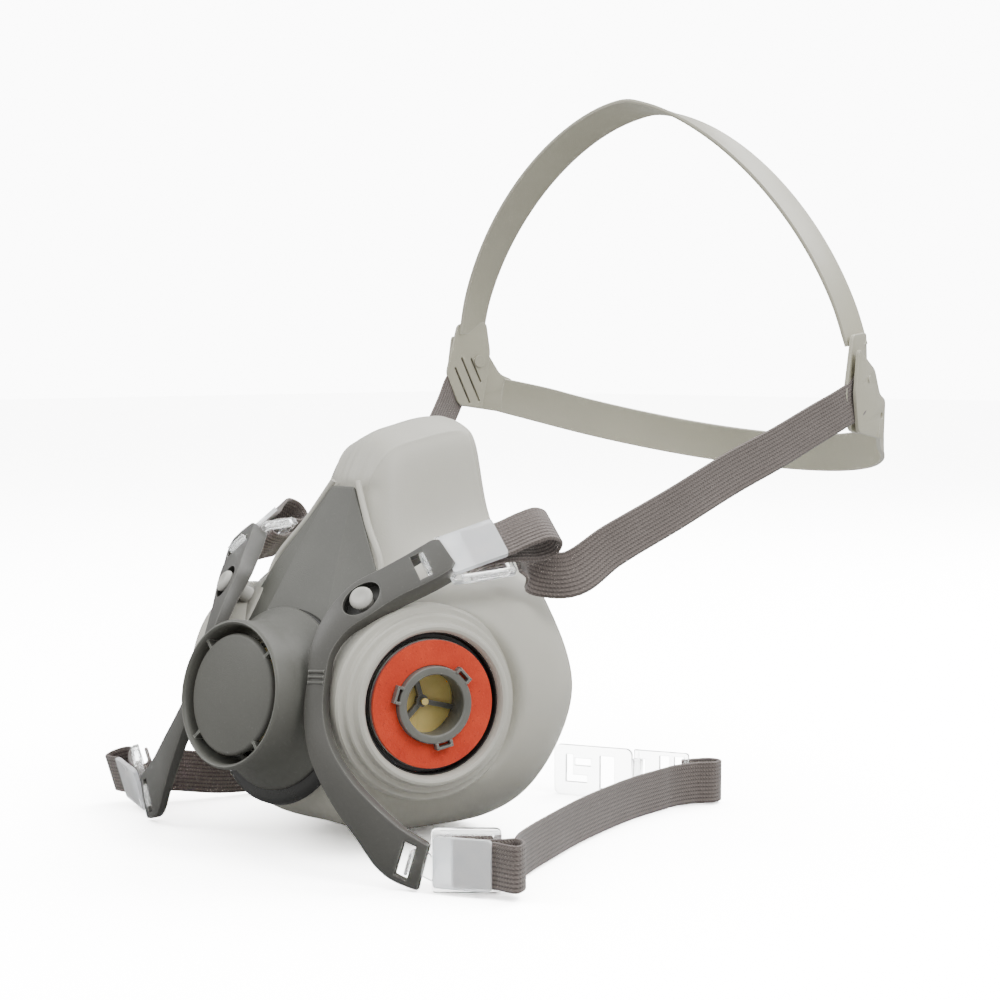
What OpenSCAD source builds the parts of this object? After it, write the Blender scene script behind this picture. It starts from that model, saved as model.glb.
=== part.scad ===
// Reusable half-mask respirator: soft facepiece, hard front cover, two filter ports,
// yoke arms with tension buckles, elastic straps and a head cradle.
// Millimetres, +Z up, the front of the mask faces -Y, +X is the wearer's left.
// The origin is the centre of the footprint, on the surface the mask stands on.

/* [Facepiece] */
// Wall thickness of the moulded facepiece
wall = 2.2; // [1.8:0.1:2.6]
// Length of the hood that covers the nose, past the top of the front cover
hood_h = 25; // [22:1:26]

/* [Filter ports] */
// Outer radius of the sealing gasket
gasket_r = 21.5; // [21:0.1:22]
// Inner radius of the bayonet connector's tube
bore_r = 10.2; // [9.8:0.1:10.4]
// Length of the bore that a filter's spigot enters
bore_l = 8; // [7:0.5:9]
// Radius over the bayonet lugs
lug_r = 14.6; // [14.2:0.1:15]
// Travel of an inhalation valve when it opens
inhale_lift = 1.5; // [1:0.1:1.5]

/* [Front cover] */
// Outer radius of the exhalation drum
drum_r = 25.2; // [25:0.1:26]
// Radius of the plain disc in the drum's mouth
disc_r = 20.5; // [19:0.5:21]
// Travel of the exhalation valve when it opens
exhale_lift = 1.5; // [1:0.1:1.5]

/* [Yoke arms] */
// Thickness of an arm
arm_t = 3; // [2.6:0.1:3.2]
// Radius of the bar that a buckle turns on
bar_r = 1.6; // [1.5:0.05:1.7]

/* [Buckles] */
// Length of a buckle from its hinge bar to its end
buckle_l = 27; // [26:0.5:28]
// Width of a buckle
buckle_w = 21; // [20:0.5:22]
// Thickness of a buckle's frame
buckle_t = 2.4; // [2.2:0.1:2.6]

/* [Straps] */
// Width of the elastic
strap_w = 16; // [15:0.5:17]
// Thickness of the elastic
strap_t = 1.5; // [1.2:0.1:1.6]

/* [Head cradle] */
// Half the cradle's width
cradle_r = 103; // [100:1:105]
// Height of the crown above the side plates
crown_h = 105; // [95:1:110]
// Width of the crown band
crown_w = 14.5; // [12:0.5:15]
// Width of the nape band
nape_w = 16.5; // [14:0.5:18]
// Sideways lean of the cradle as it rests on its straps, degrees
cradle_lean = 1.75; // [0:0.25:2.5]

/* [Hidden] */
fine = 64;
round_fn = 48;

// distance from the studs' plane back to the middle of the footprint
y_mid = 127.24;

// --- vectors and paths -------------------------------------------------------------------
function unit(v) = v / norm(v);
function square_to(v, axis) = unit(v - (v * axis) * axis);
function flip(p, sd) = [sd * p.x, p.y, p.z];
function head3(r) = [r[0], r[1], r[2]];
function side3(r) = [r[3], r[4], r[5]];
// smooth curve through rows of any length
function smooth(p, n) = [for (i = [0:len(p) - 2]) for (k = [0:n - 1])
    let (t = k / n, a = p[max(i - 1, 0)], b = p[i], c = p[i + 1], d = p[min(i + 2, len(p) - 1)])
    0.5 * (2 * b + (c - a) * t + (2 * a - 5 * b + 4 * c - d) * t * t
      + (3 * b - a - 3 * c + d) * t * t * t), p[len(p) - 1]];
function heading(r, i) = unit(head3(r[min(i + 1, len(r) - 1)]) - head3(r[max(i - 1, 0)]));
// a row is [x, y, z, across x, across y, across z, width]
function flip_rows(rows, sd) = [for (r = rows) [sd * r[0], r[1], r[2], sd * r[3], r[4], r[5], r[6]]];

// flat band along rows
module band(rows, thick, steps = 4) {
  r = smooth(rows, steps);
  n = len(r);
  pts = [for (i = [0:n - 1]) let (t = heading(r, i), s = square_to(side3(r[i]), t),
      u = cross(t, s) * thick / 2, w = s * r[i][6] / 2, p = head3(r[i]))
      each [p + w + u, p + w - u, p - w - u, p - w + u]];
  walls = [for (i = [0:n - 2]) for (j = [0:3]) let (a = 4 * i + j, b = 4 * i + (j + 1) % 4)
      each [[a, b, b + 4], [a, b + 4, a + 4]]];
  ends = [[3, 2, 1], [3, 1, 0], [4 * n - 4, 4 * n - 3, 4 * n - 2], [4 * n - 4, 4 * n - 2, 4 * n - 1]];
  polyhedron(points = pts, faces = concat(walls, ends), convexity = 8);
}

// puts a local frame at o with its x, y and z along three directions
module stand(o, ex, ey) {
  ez = cross(ex, ey);
  multmatrix([[ex.x, ey.x, ez.x, o.x], [ex.y, ey.y, ez.y, o.y], [ex.z, ey.z, ez.z, o.z], [0, 0, 0, 1]])
    children();
}
module grounded() { translate([0, -y_mid, 0]) children(); }
module plate(size, r) {
  linear_extrude(size.z, center = true) difference() {
    square([size.x, size.y], center = true);
    for (sx = [-1, 1]) for (sy = [-1, 1])
      translate([sx * (size.x / 2 - r), sy * (size.y / 2 - r)]) scale([sx, sy])
        difference() { square(r + 1); circle(r, $fn = round_fn); }
  }
}
module tube(r_out, r_in, h) {
  difference() {
    cylinder(h = h, r = r_out, $fn = fine);
    translate([0, 0, -1]) cylinder(h = h + 2, r = r_in, $fn = fine);
  }
}

// --- facepiece ---------------------------------------------------------------------------
// Half outline of each ring, from the top to the chin, right side. The first ring is
// around the exhalation seat, the last is the lip that turns in to the face.
hood_top = 125 + hood_h;
shell_rings = [
  [[0, -3, 79], [10, -4, 78], [17, -5, 70], [19, -6, 62],
    [19, -8, 54], [15, -10, 44], [9, -11, 38], [0, -11, 37]],
  [[0, 9, 98], [9, 8, 92], [18, 3, 84], [24, -3, 72],
    [26.5, -7, 56], [23, -8, 36], [14, -5, 23], [0, -4, 21]],
  [[0, 24, 126], [8, 22, 118], [20, 15, 98], [34, 7, 84], [43, 0, 57], [37, 1, 30], [22, 4, 13], [0, 8, 10]],
  [[0, 36, hood_top - 7], [11, 34, 136], [25, 28, 104], [46, 23, 88],
    [55, 19, 57], [47, 18, 28], [30, 21, 9], [0, 26, 4]],
  [[0, 52, hood_top - 2], [13, 50, 140], [26, 46, 108], [56, 44, 88],
    [66, 41, 56], [57, 38, 25], [35, 42, 8], [0, 46, 2]],
  [[0, 66, hood_top], [14, 64, 142], [27, 66, 110], [58, 62, 87],
    [67, 63, 54], [58, 58, 25], [36, 60, 8], [0, 64, 2.2]],
  [[0, 74, hood_top - 1], [14, 73, 142], [26, 72, 110], [53, 70, 86],
    [61, 76, 54], [53, 69, 25], [34, 68, 9.5], [0, 72, 3.5]],
  [[0, 75, hood_top - 9], [9, 76, 134], [20, 74, 106], [43, 73, 81],
    [51, 78, 54], [44, 72, 31], [27, 72, 17], [0, 75, 12]]];
around = 3;
along = 2;
function half_ring(r) = smooth(r, around);
function full_ring(r) = let (h = half_ring(r), n = len(h))
    concat(h, [for (i = [n - 2:-1:1]) flip(h[i], -1)]);
shell_grid = let (rings = [for (r = shell_rings) full_ring(r)], m = len(rings[0]),
    cols = [for (j = [0:m - 1]) smooth([for (r = rings) r[j]], along)])
    [for (i = [0:len(cols[0]) - 1]) [for (j = [0:m - 1]) cols[j][i]]];
function out_normal(g, i, j) = let (n = len(g), m = len(g[0]))
    unit(cross(g[i][(j + 1) % m] - g[i][(j + m - 1) % m], g[min(i + 1, n - 1)][j] - g[max(i - 1, 0)][j]));
// loft from ring 0 to the last ring, out one way and back inside
module shell(g, t) {
  n = len(g);
  m = len(g[0]);
  inner = [for (i = [0:n - 1]) [for (j = [0:m - 1]) g[i][j] - t * out_normal(g, i, j)]];
  loop = concat(g, [for (i = [n - 1:-1:0]) inner[i]]);
  pts = [for (r = loop) each r];
  faces = [for (i = [0:2 * n - 1]) for (j = [0:m - 1])
      let (a = i * m + j, b = i * m + (j + 1) % m, c = ((i + 1) % (2 * n)) * m + j,
        d = ((i + 1) % (2 * n)) * m + (j + 1) % m) each [[a, d, b], [a, c, d]]];
  polyhedron(points = pts, faces = faces, convexity = 10);
}

// --- filter ports ------------------------------------------------------------------------
// The port's local z points out of the mask; z = 0 is the gasket's outer face.
port_o = [53.5, 14.2, 55.3];
port_axis = unit([0.922, -0.384, 0.038]);
port_up = square_to([0, 0, 1], port_axis);
gasket_t = 2;
flange_r = gasket_r + 0.3;
flange_z = -3.6;
seat_z = flange_z - 3.5;
boss_r = 30;
module port(sd) {
  if (sd > 0) stand(port_o, cross(port_up, port_axis), port_up) children();
  else mirror([1, 0, 0]) stand(port_o, cross(port_up, port_axis), port_up) children();
}
module facepiece() {
  color([0.74, 0.735, 0.70]) grounded() difference() {
    union() {
      shell(shell_grid, wall);
      for (sd = [-1, 1]) port(sd) {
        translate([0, 0, flange_z - 6]) cylinder(h = 4.8, r = boss_r, $fn = fine);
        translate([0, 0, flange_z - 2]) cylinder(h = 4.6, r = gasket_r + 5, $fn = fine);
      }
    }
    for (sd = [-1, 1]) port(sd) {
      translate([0, 0, flange_z - 0.05]) cylinder(h = 8, r = flange_r + 0.9, $fn = fine);
      translate([0, 0, -22]) cylinder(h = 22, r = lug_r + 1.9, $fn = fine);
    }
  }
}
// Bayonet connector: seat flange, tube, three lugs and a three-armed valve spider
spider_z = -12;
tube_foot = 14.5 - bore_l - 1;
module connector(sd) {
  color([0.47, 0.47, 0.45]) grounded() port(sd) {
    difference() {
      union() {
        translate([0, 0, flange_z]) cylinder(h = 1.5, r = flange_r, $fn = fine);
        translate([0, 0, spider_z]) cylinder(h = 2.5 - spider_z, r = 13, $fn = fine);
        for (a = [42:120:282]) rotate([0, 0, a]) translate([lug_r - 3.2, -2.6, 0.2]) cube([3.2, 5.2, 2.1]);
      }
      translate([0, 0, spider_z + 1]) cylinder(h = 30, r = bore_r, $fn = fine);
      translate([0, 0, spider_z - 1]) cylinder(h = 1 + tube_foot, r = 11.6, $fn = fine);
    }
    difference() {
      union() {
        for (a = [105:120:345]) rotate([0, 0, a]) translate([0, -0.9, spider_z + 0.3]) cube([12.3, 1.8, 2]);
        translate([0, 0, spider_z + 0.1]) cylinder(h = 2.3, r = 2.2, $fn = fine);
      }
      translate([0, 0, spider_z - 1]) cylinder(h = 6, r = 0.75, $fn = fine);
    }
  }
}
module gasket(sd) {
  color([0.85, 0.33, 0.20]) grounded() port(sd) translate([0, 0, -gasket_t])
    tube(gasket_r, 13.1, gasket_t);
}
// Ring that clamps the connector from inside the facepiece
module port_nut(sd) {
  color([0.30, 0.30, 0.29]) grounded() port(sd) translate([0, 0, -15]) difference() {
    union() {
      translate([0, 0, 2]) cylinder(h = 3, r = 18.5, $fn = fine);
      cylinder(h = 4, r = 15.5, $fn = fine);
    }
    translate([0, 0, -1]) cylinder(h = 8, r = 13.1, $fn = fine);
  }
}
valve_gap = 0.3;
module inhalation_valve(sd) {
  color([0.80, 0.75, 0.55]) grounded() port(sd) {
    translate([0, 0, spider_z - 0.9 - valve_gap]) cylinder(h = 0.9, r = 12, $fn = fine);
    translate([0, 0, spider_z - 1]) cylinder(h = 3.6 + inhale_lift, r = 0.65, $fn = fine);
    translate([0, 0, spider_z + 2.5 + inhale_lift]) cylinder(h = 1, r = 1.2, $fn = fine);
  }
}

// --- exhalation drum ---------------------------------------------------------------------
// Local z points out of the drum's mouth; z = 0 is the rim.
drum_pitch = 10.8;
drum_o = [0, -29.8, 58];
drum_d = 17;
skirt_d = 18.5;
skirt_r = 29;
module drum_frame() { translate(drum_o) rotate([90 - drum_pitch, 0, 0]) children(); }
module front_cover() {
  color([0.40, 0.40, 0.38]) grounded() {
    drum_frame() {
      translate([0, 0, -drum_d]) tube(drum_r, drum_r - 1.8, drum_d);
      translate([0, 0, -3.2]) cylinder(h = 1.8, r = disc_r, $fn = fine);
      for (a = [45:90:315]) rotate([0, 0, a]) translate([disc_r - 1, -0.6, -7])
        cube([drum_r - disc_r, 1.2, 5.6]);
    }
    // skirt that widens from the drum to the facepiece
    drum_frame() difference() {
      hull() {
        translate([0, 0, -13]) cylinder(h = 0.5, r = drum_r, $fn = 48);
        translate([0, 0, -skirt_d]) cylinder(h = 0.5, r = skirt_r, $fn = 48);
      }
      hull() {
        translate([0, 0, -12.4]) cylinder(h = 0.5, r = drum_r - 1.8, $fn = 48);
        translate([0, 0, -skirt_d - 0.1]) cylinder(h = 0.5, r = skirt_r - 1.8, $fn = 48);
      }
    }
    // pyramid over the nose, open behind
    difference() {
      hull() {
        for (sd = [-1, 1]) {
          translate([sd * 5.3, 22.7, 125.2]) sphere(0.6, $fn = 12);
          translate([sd * 25.7, 15, 97]) sphere(0.6, $fn = 12);
          translate([sd * 15, 0, 77]) sphere(0.6, $fn = 12);
          translate([sd * 27, 2, 74]) sphere(0.6, $fn = 12);
          translate([sd * 12, -20, 82]) sphere(0.6, $fn = 12);
        }
      }
      hull() {
        for (sd = [-1, 1]) {
          translate([sd * 4, 26.5, 123.5]) sphere(0.6, $fn = 12);
          translate([sd * 26, 19, 92]) sphere(0.6, $fn = 12);
          translate([sd * 13, 3, 70]) sphere(0.6, $fn = 12);
          translate([sd * 29, 6, 68]) sphere(0.6, $fn = 12);
          translate([sd * 10, -16, 78]) sphere(0.6, $fn = 12);
        }
      }
      drum_frame() translate([0, 0, -drum_d - 14]) cylinder(h = 60, r = drum_r - 1.8, $fn = fine);
    }
  }
}
// Seat ring with four spokes and a hub that the valve's stem runs in
module exhalation_seat() {
  color([0.55, 0.55, 0.53]) grounded() drum_frame() translate([0, 0, -drum_d - 3]) {
    tube(19, 15.6, 3);
    difference() {
      union() {
        for (a = [0:90:270]) rotate([0, 0, a]) translate([0, -0.8, 0]) cube([17, 1.6, 2]);
        cylinder(h = 2, r = 2.6, $fn = fine);
      }
      translate([0, 0, -1]) cylinder(h = 5, r = 0.95, $fn = fine);
    }
  }
}
module exhalation_valve() {
  color([0.80, 0.75, 0.55]) grounded() drum_frame() {
    translate([0, 0, -drum_d + 0.3]) cylinder(h = 1, r = 16.8, $fn = fine);
    translate([0, 0, -drum_d - 3.8 - exhale_lift]) cylinder(h = 4.4 + exhale_lift, r = 0.85, $fn = fine);
    translate([0, 0, -drum_d - 4.6 - exhale_lift]) cylinder(h = 1, r = 1.5, $fn = fine);
  }
}

// --- yoke arms ---------------------------------------------------------------------------
arm_rows = [
  [48, 15.1, 100.5, 0.73, -0.24, -0.64, 14.4], [46, 12.9, 99.2, 0.73, -0.24, -0.64, 14.4],
  [41.5, 7, 95.5, 0.73, -0.24, -0.64, 13.6], [35.3, -0.5, 90, 0.76, -0.12, -0.62, 14],
  [30.5, -8, 82.5, 0.85, 0.1, -0.45, 12], [28, -13.5, 74, 0.93, 0.3, -0.15, 10],
  [28.8, -16.5, 65, 0.93, 0.35, 0.05, 9.5], [31.8, -19.5, 54, 0.9, 0.36, 0.16, 10.5],
  [37.5, -21, 43, 0.8, 0.3, 0.4, 12], [46, -20, 32, 0.66, 0.2, 0.66, 14],
  [56.5, -16.3, 20, 0.47, 0.1, 0.86, 17], [64.5, -13.1, 11.5, 0.36, 0.05, 0.93, 18.5],
  [67.3, -12, 10.2, 0.33, 0.04, 0.94, 16.5]];
stud_o = [35.3, -0.5, 90];
stud_axis = unit([0.31, -0.78, 0.54]);
stud_up = square_to([0, 0, 1], stud_axis);
// hinge bars: centre, axis, and the arm's heading where it reaches the bar
upper_bar_o = [50.1, 17.6, 102.2];
upper_bar = unit([0.73, -0.24, -0.64]);
upper_out = square_to([0.55, 0.67, 0.45], upper_bar);
lower_bar_o = [71, -10.6, 8.9];
lower_bar = unit([0.33, 0.04, 0.94]);
lower_out = square_to([0.94, 0.35, -0.33], lower_bar);
cheek_w = 1.6;
knuckle_l = 8;
knuckle_r = 2.9;
module bar_end(o, axis, out, w) {
  stand(o, out, axis) {
    rotate([90, 0, 0]) translate([0, 0, -w / 2]) cylinder(h = w, r = bar_r, $fn = fine);
    for (s = [-1, 1]) translate([-3.1, s * (w - cheek_w) / 2, 0])
      cube([6.2, cheek_w, arm_t - 0.1], center = true);
  }
}
module yoke_arm(sd) {
  color([0.38, 0.38, 0.36]) grounded() mirror([sd < 0 ? 1 : 0, 0, 0]) {
    difference() {
      band(arm_rows, arm_t, 3);
      stand(stud_o, stud_up, cross(stud_axis, stud_up))
        translate([0, 0, -8]) cylinder(h = 16, r = 3.6, $fn = fine);
    }
    bar_end(upper_bar_o, upper_bar, upper_out, 14.4);
    bar_end(lower_bar_o, lower_bar, lower_out, 16);
  }
}
module retaining_studs() {
  color([0.72, 0.72, 0.70]) grounded() for (sd = [0, 1]) mirror([sd, 0, 0])
    stand(stud_o, stud_up, cross(stud_axis, stud_up)) {
      translate([0, 0, -9]) cylinder(h = 12, r = 3.4, $fn = fine);
      intersection() {
        translate([0, 0, -0.9]) sphere(5, $fn = fine);
        translate([0, 0, 2]) cylinder(h = 5, r = 3.2, $fn = fine);
      }
    }
}

// --- buckles -----------------------------------------------------------------------------
// Each entry: bar centre, bar axis, buckle heading, up across the buckle, shift across
upper_ex = square_to([0.385, 0.917, 0.096], upper_bar);
// the left upper buckle rests turned down by this much, degrees
left_swing = 7;
left_up_ex = flip(upper_ex * cos(left_swing) - cross(upper_ex, -upper_bar) * sin(left_swing), -1);
right_low_ex = unit([0.74, 0.67, 0.0]);
right_low_ey = [0, 0, 1];
left_low_ex = unit([-0.83, 0.52, 0.17]);
left_low_ey = square_to([0.05, 0.28, -0.95], left_low_ex);
// [bar centre, bar axis, buckle heading, across, shift across, start of the frame]
function seat(k, sd) = k == 0
    ? [flip(upper_bar_o, sd), flip(upper_bar, sd), sd > 0 ? upper_ex : left_up_ex,
      -sd * flip(upper_bar, sd), 0, 3.6]
    : sd > 0 ? [lower_bar_o, lower_bar, right_low_ex, right_low_ey, 1.6, 4.6]
      : [flip(lower_bar_o, -1), flip(lower_bar, -1), left_low_ex, left_low_ey, -0.5, 5.2];
rail = 2.4;
tongue_tilt = 17;
module in_buckle(q) { stand(q[0], q[2], q[3]) translate([0, q[4], 0]) children(); }
module in_bar(q) {
  out = square_to(q[2], q[1]);
  stand(q[0], out, q[1]) rotate([90, 0, 0]) children();
}
module buckle(k, sd) {
  q = seat(k, sd);
  color([0.90, 0.92, 0.92, 0.6]) grounded() {
    in_buckle(q) translate([(q[5] + buckle_l) / 2, 0, 0]) difference() {
      plate([buckle_l - q[5], buckle_w, buckle_t], 1.5);
      translate([1, 0, 0]) cube([buckle_l - q[5] - 2 - 2 * rail, buckle_w - 2 * rail, 10], center = true);
    }
    difference() {
      hull() {
        in_bar(q) translate([0, 0, -knuckle_l / 2]) cylinder(h = knuckle_l, r = knuckle_r, $fn = 32);
        in_buckle(q) translate([q[5] + 0.6, 0, 0]) cube([1, knuckle_l + 1.6, buckle_t], center = true);
      }
      in_bar(q) translate([0, 0, -20]) cylinder(h = 40, r = bar_r + 0.08, $fn = fine);
      for (s = [-1, 1]) in_bar(q) translate([0, 0, s * (knuckle_l / 2 + 3.05)])
        cylinder(h = 6, r = knuckle_r + 0.6, center = true, $fn = fine);
    }
  }
}
// Sprung tongue that pinches the elastic against the frame
module tongue(k, sd) {
  q = seat(k, sd);
  color([0.90, 0.92, 0.92, 0.6]) grounded() in_buckle(q) translate([q[5] + 0.8, 0, buckle_t / 2])
    rotate([0, -tongue_tilt, 0]) translate([0, 0, 1]) {
      translate([10, 0, 0]) plate([19.5, buckle_w - 4.4, 1.6], 1.2);
      translate([18.6, 0, -0.9]) cube([1.6, buckle_w - 8, 1.2], center = true);
    }
}

// --- elastic -----------------------------------------------------------------------------
// Loop of the elastic in a buckle, in the buckle's own x and z
loop_path = [[12, 3.9], [18, 5.4], [25, 7], [32, 10.2], [38, 11.6], [42.6, 8.6], [42, 3.6], [37, 1.6],
  [30, 2.6], [24, 3.2], [17, 2.9], [12.6, 1], [11.6, -2], [14.6, -3.6], [20, -3.6], [27, -3.4]];
loop_scale = [1, 0.67];
module strap_loop(k, sd) {
  q = seat(k, sd);
  s = loop_scale[k];
  rows = [for (p = loop_path) [p[0] > 27 ? 27 + (p[0] - 27) * s * s : p[0], 0, p[1], 0, 1, 0, strap_w - 0.6]];
  color([0.42, 0.38, 0.36]) grounded() in_buckle(q) band(rows, strap_t - 0.1, 3);
}
// The cradle leans about this point
lean_o = [0, 197, 167];
function lean(p) = let (a = cradle_lean, d = p - lean_o)
    lean_o + [d.x * cos(a) + d.z * sin(a), d.y, d.z * cos(a) - d.x * sin(a)];
// route of an upper strap: two rows in the buckle's own frame, the rest in the mask's, right side
upper_start = [[31.6, 0, -4.4, 0, 1, 0], [36.5, -2, -8.6, -0.35, 1, 0.3]];
upper_route = [[71.5, 61, 96.2, -0.4, -0.2, 0.85], [77, 78.5, 105.4, -0.15, -0.42, 0.88],
  [84, 104.7, 117.3, -0.1, -0.45, 0.87], [90, 131, 129.5, -0.1, -0.45, 0.87],
  [95.5, 150, 138, -0.06, -0.45, 0.87], [100.5, 168, 147, -0.03, -0.48, 0.86],
  [104, 180, 153.2, 0, -0.5, 0.86], [104.9, 187, 157, 0, -0.55, 0.83], [103, 194.5, 161, 0, -0.55, 0.83]];
// how far the slacker left strap hangs below the right one, row by row
left_slack = [5, 8, 11, 13, 14, 12, 7, 2, 0];
function from_buckle(q, p) = let (ez = cross(q[2], q[3])) q[0] + p.x * q[2] + (p.y + q[4]) * q[3] + p.z * ez;
function turn_in_buckle(q, v) = v.x * q[2] + v.y * q[3] + v.z * cross(q[2], q[3]);
module upper_strap(sd) {
  q = seat(0, sd);
  n = len(upper_route) - 1;
  start = [for (r = upper_start) let (p = from_buckle(q, [r[0], sd * r[1], r[2]]),
      s = sd * turn_in_buckle(q, [r[3] * sd, r[4], r[5] * sd])) [p.x, p.y, p.z, s.x, s.y, s.z, strap_w]];
  rest = [for (i = [0:n]) let (r = upper_route[i], p = flip(head3(r), sd), t = pow(i / n, 2),
      m = p * (1 - t) + lean(p) * t - [0, 0, sd < 0 ? left_slack[i] : 0])
      [m.x, m.y, m.z, sd * r[3], r[4], r[5], strap_w]];
  color([0.42, 0.38, 0.36]) grounded() band(concat(start, rest), strap_t, 4);
}
// route of a lower strap along the surface, right side, from the buckle to the neck slider
lower_z = strap_w / 2 + 0.6;
right_low_route = [[93.5, 11.5, 9.6, 0, 0, 1], [89, 18, 9.2, 0, 0, 1], [82.5, 31, lower_z, 0, 0, 1],
  [76.5, 48, lower_z, 0, 0, 1], [70, 68, lower_z, 0, 0, 1], [64.5, 90, lower_z, 0, 0, 1],
  [60.5, 112, lower_z, 0, 0, 1], [59.3, 130, lower_z, 0, 0, 1]];
left_low_route = [[-92, 11, 12.4, 0, 0.1, 1], [-88.5, 18, 11.4, 0, 0.1, 1], [-82, 31, lower_z + 0.8, 0, 0, 1],
  [-76.5, 48, lower_z, 0, 0, 1], [-70, 68, lower_z, 0, 0, 1], [-64.5, 90, lower_z, 0, 0, 1],
  [-60.5, 112, lower_z, 0, 0, 1], [-59.3, 130, lower_z, 0, 0, 1]];
// tail of a lower strap: through the slider, round in a loop and back
neck_loop = [[59, 134.5], [59.3, 138.5], [60, 142], [62, 147.5], [66, 153], [65, 157.6], [60.8, 157.4],
  [57.2, 152.6], [54.5, 147.5]];
module lower_strap(sd) {
  route = sd > 0 ? right_low_route : left_low_route;
  rows = concat([for (r = route) [r[0], r[1], r[2], r[3], r[4], r[5], strap_w]],
    [for (p = neck_loop) [sd * p[0], p[1], lower_z, 0, 0, 1, strap_w]]);
  color([0.42, 0.38, 0.36]) grounded() band(rows, strap_t, 3);
}

// --- neck clasp --------------------------------------------------------------------------
// Each half lies in a plane that stands on the surface, from the slider towards the nape
clasp_h = 19.6;
clasp_t = 2;
clasp_z = clasp_h / 2 + 0.1;
clasp_ex = unit([-50, -20, 0]);
slider_o = [56.6, 144.2, clasp_z];
module in_clasp(sd) {
  if (sd > 0) stand(slider_o, clasp_ex, [0, 0, 1]) children();
  else mirror([1, 0, 0]) stand(slider_o, clasp_ex, [0, 0, 1]) children();
}
module neck_slider(sd) {
  color([0.90, 0.92, 0.92, 0.6]) grounded() in_clasp(sd) difference() {
    translate([5.5, 0, 0]) plate([17, clasp_h, clasp_t], 1);
    for (x = [0.6, 6.4]) translate([x, 0, 0]) cube([4, strap_w + 0.8, 6], center = true);
  }
}
pin_x = 17.5;
module neck_hook() {
  color([0.90, 0.92, 0.92, 0.6]) grounded() in_clasp(1) {
    difference() {
      translate([pin_x + 17.8, 0, 0]) plate([31.5, clasp_h, clasp_t], 2.5);
      translate([pin_x + 12, 0, 0]) cube([6, 13, 6], center = true);
      translate([pin_x + 24.5, -3.2, 0]) cube([9, 3, 6], center = true);
      translate([pin_x + 27.4, 0.8, 0]) cube([3, 11, 6], center = true);
      translate([pin_x + 22, 3.4, 0]) cube([7, 3, 6], center = true);
    }
    rotate([90, 0, 0]) translate([pin_x, 0, -5.9]) tube(2.3, 1.3, 11.8);
  }
}
// The right slider also carries the hook's hinge pin
module right_slider() {
  neck_slider(1);
  color([0.90, 0.92, 0.92, 0.6]) grounded() in_clasp(1) {
    rotate([90, 0, 0]) translate([pin_x, 0, -clasp_h / 2]) cylinder(h = clasp_h, r = 1.22, $fn = fine);
    for (s = [-1, 1]) translate([pin_x - 1.8, s * (clasp_h / 2 - 1.6), 0])
      cube([4.4, 3.2, clasp_t], center = true);
  }
}
module neck_eye() {
  color([0.90, 0.92, 0.92, 0.6]) grounded() in_clasp(-1) difference() {
    translate([14.2 + 12.5, 0, 0]) plate([25, clasp_h, clasp_t], 2.5);
    translate([14.2 + 14, 0, 0]) cube([14, 12, 6], center = true);
  }
}

// --- head cradle -------------------------------------------------------------------------
cradle_t = 1.4;
crown_n = 1.65;
crown_z = 167;
crown_y = 193.7;
crown_rise = -6;
crown_dip = 0.36;
crown_twist = 0.7;
crown_sway = -4;
function spow(v, e) = sign(v) * pow(abs(v), e);
// a is 0 at the right side plate, 90 at the top, 180 at the left
function crown_row(a) = let (x = cradle_r * spow(cos(a), 2 / crown_n),
    z = crown_z + crown_h * pow(sin(a), 2 / crown_n),
    p = lean([x + crown_sway * sin(a), crown_y + crown_rise * sin(a), z]), top = sin(a) * sin(a),
    s = unit([crown_twist * top, 1, -crown_dip * sin(a)]))
    [p.x, p.y, p.z, s.x, s.y, s.z, crown_w];
// side plate outlines, y back from the plates' hinge line and z: the crown's, then the nape band's
plate_y = 190;
plate_turn = 14;
plate_gap = strap_t + 0.1;
crown_plate = [[-5, 181], [10, 182], [12.5, 169.5], [10.8, 157], [8.5, 144], [-3.8, 146], [-10.4, 160]];
nape_plate = [[-8, 160], [-6, 177], [13, 169], [20, 159.5], [27, 157], [27, 141.5], [-3, 145.5]];
module on_side(sd) {
  translate(lean_o) rotate([0, cradle_lean, 0]) translate(-lean_o)
    translate([sd * (cradle_r - 0.6), plate_y, 0]) rotate([0, 0, sd * plate_turn])
      mirror([sd < 0 ? 1 : 0, 0, 0]) children();
}
module side_plate(outline) {
  rotate([90, 0, 90]) linear_extrude(cradle_t, center = true) polygon(outline);
}
module side_hole(y, z, r) { translate([-6, y, z]) rotate([0, 90, 0]) cylinder(h = 14, r = r, $fn = fine); }
nape_x = cradle_t + plate_gap;
slit = [[2.1, 146.2, 18.4], [7.4, 146.6, 23], [7.7, 155.6, 12.4]];
module crown_band() {
  rows = [for (a = [9:9:171]) crown_row(a)];
  color([0.66, 0.66, 0.61]) grounded() difference() {
    union() {
      band(rows, cradle_t, 2);
      for (sd = [-1, 1]) on_side(sd) side_plate(crown_plate);
    }
    for (sd = [-1, 1]) on_side(sd) {
      for (s = slit) translate([-4, s[0], s[1]]) rotate([27, 0, 0]) cube([8, 0.8, s[2]]);
      side_hole(6.4, 165.5, 1.35);
      side_hole(4, 189.5, 1.3);
    }
  }
}
nape_r = 101;
nape_b = 112;
nape_y = 175;
nape_drop = 32;
nape_z = 160.5;
nape_sway = 6;
nape_from = 28;
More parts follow.
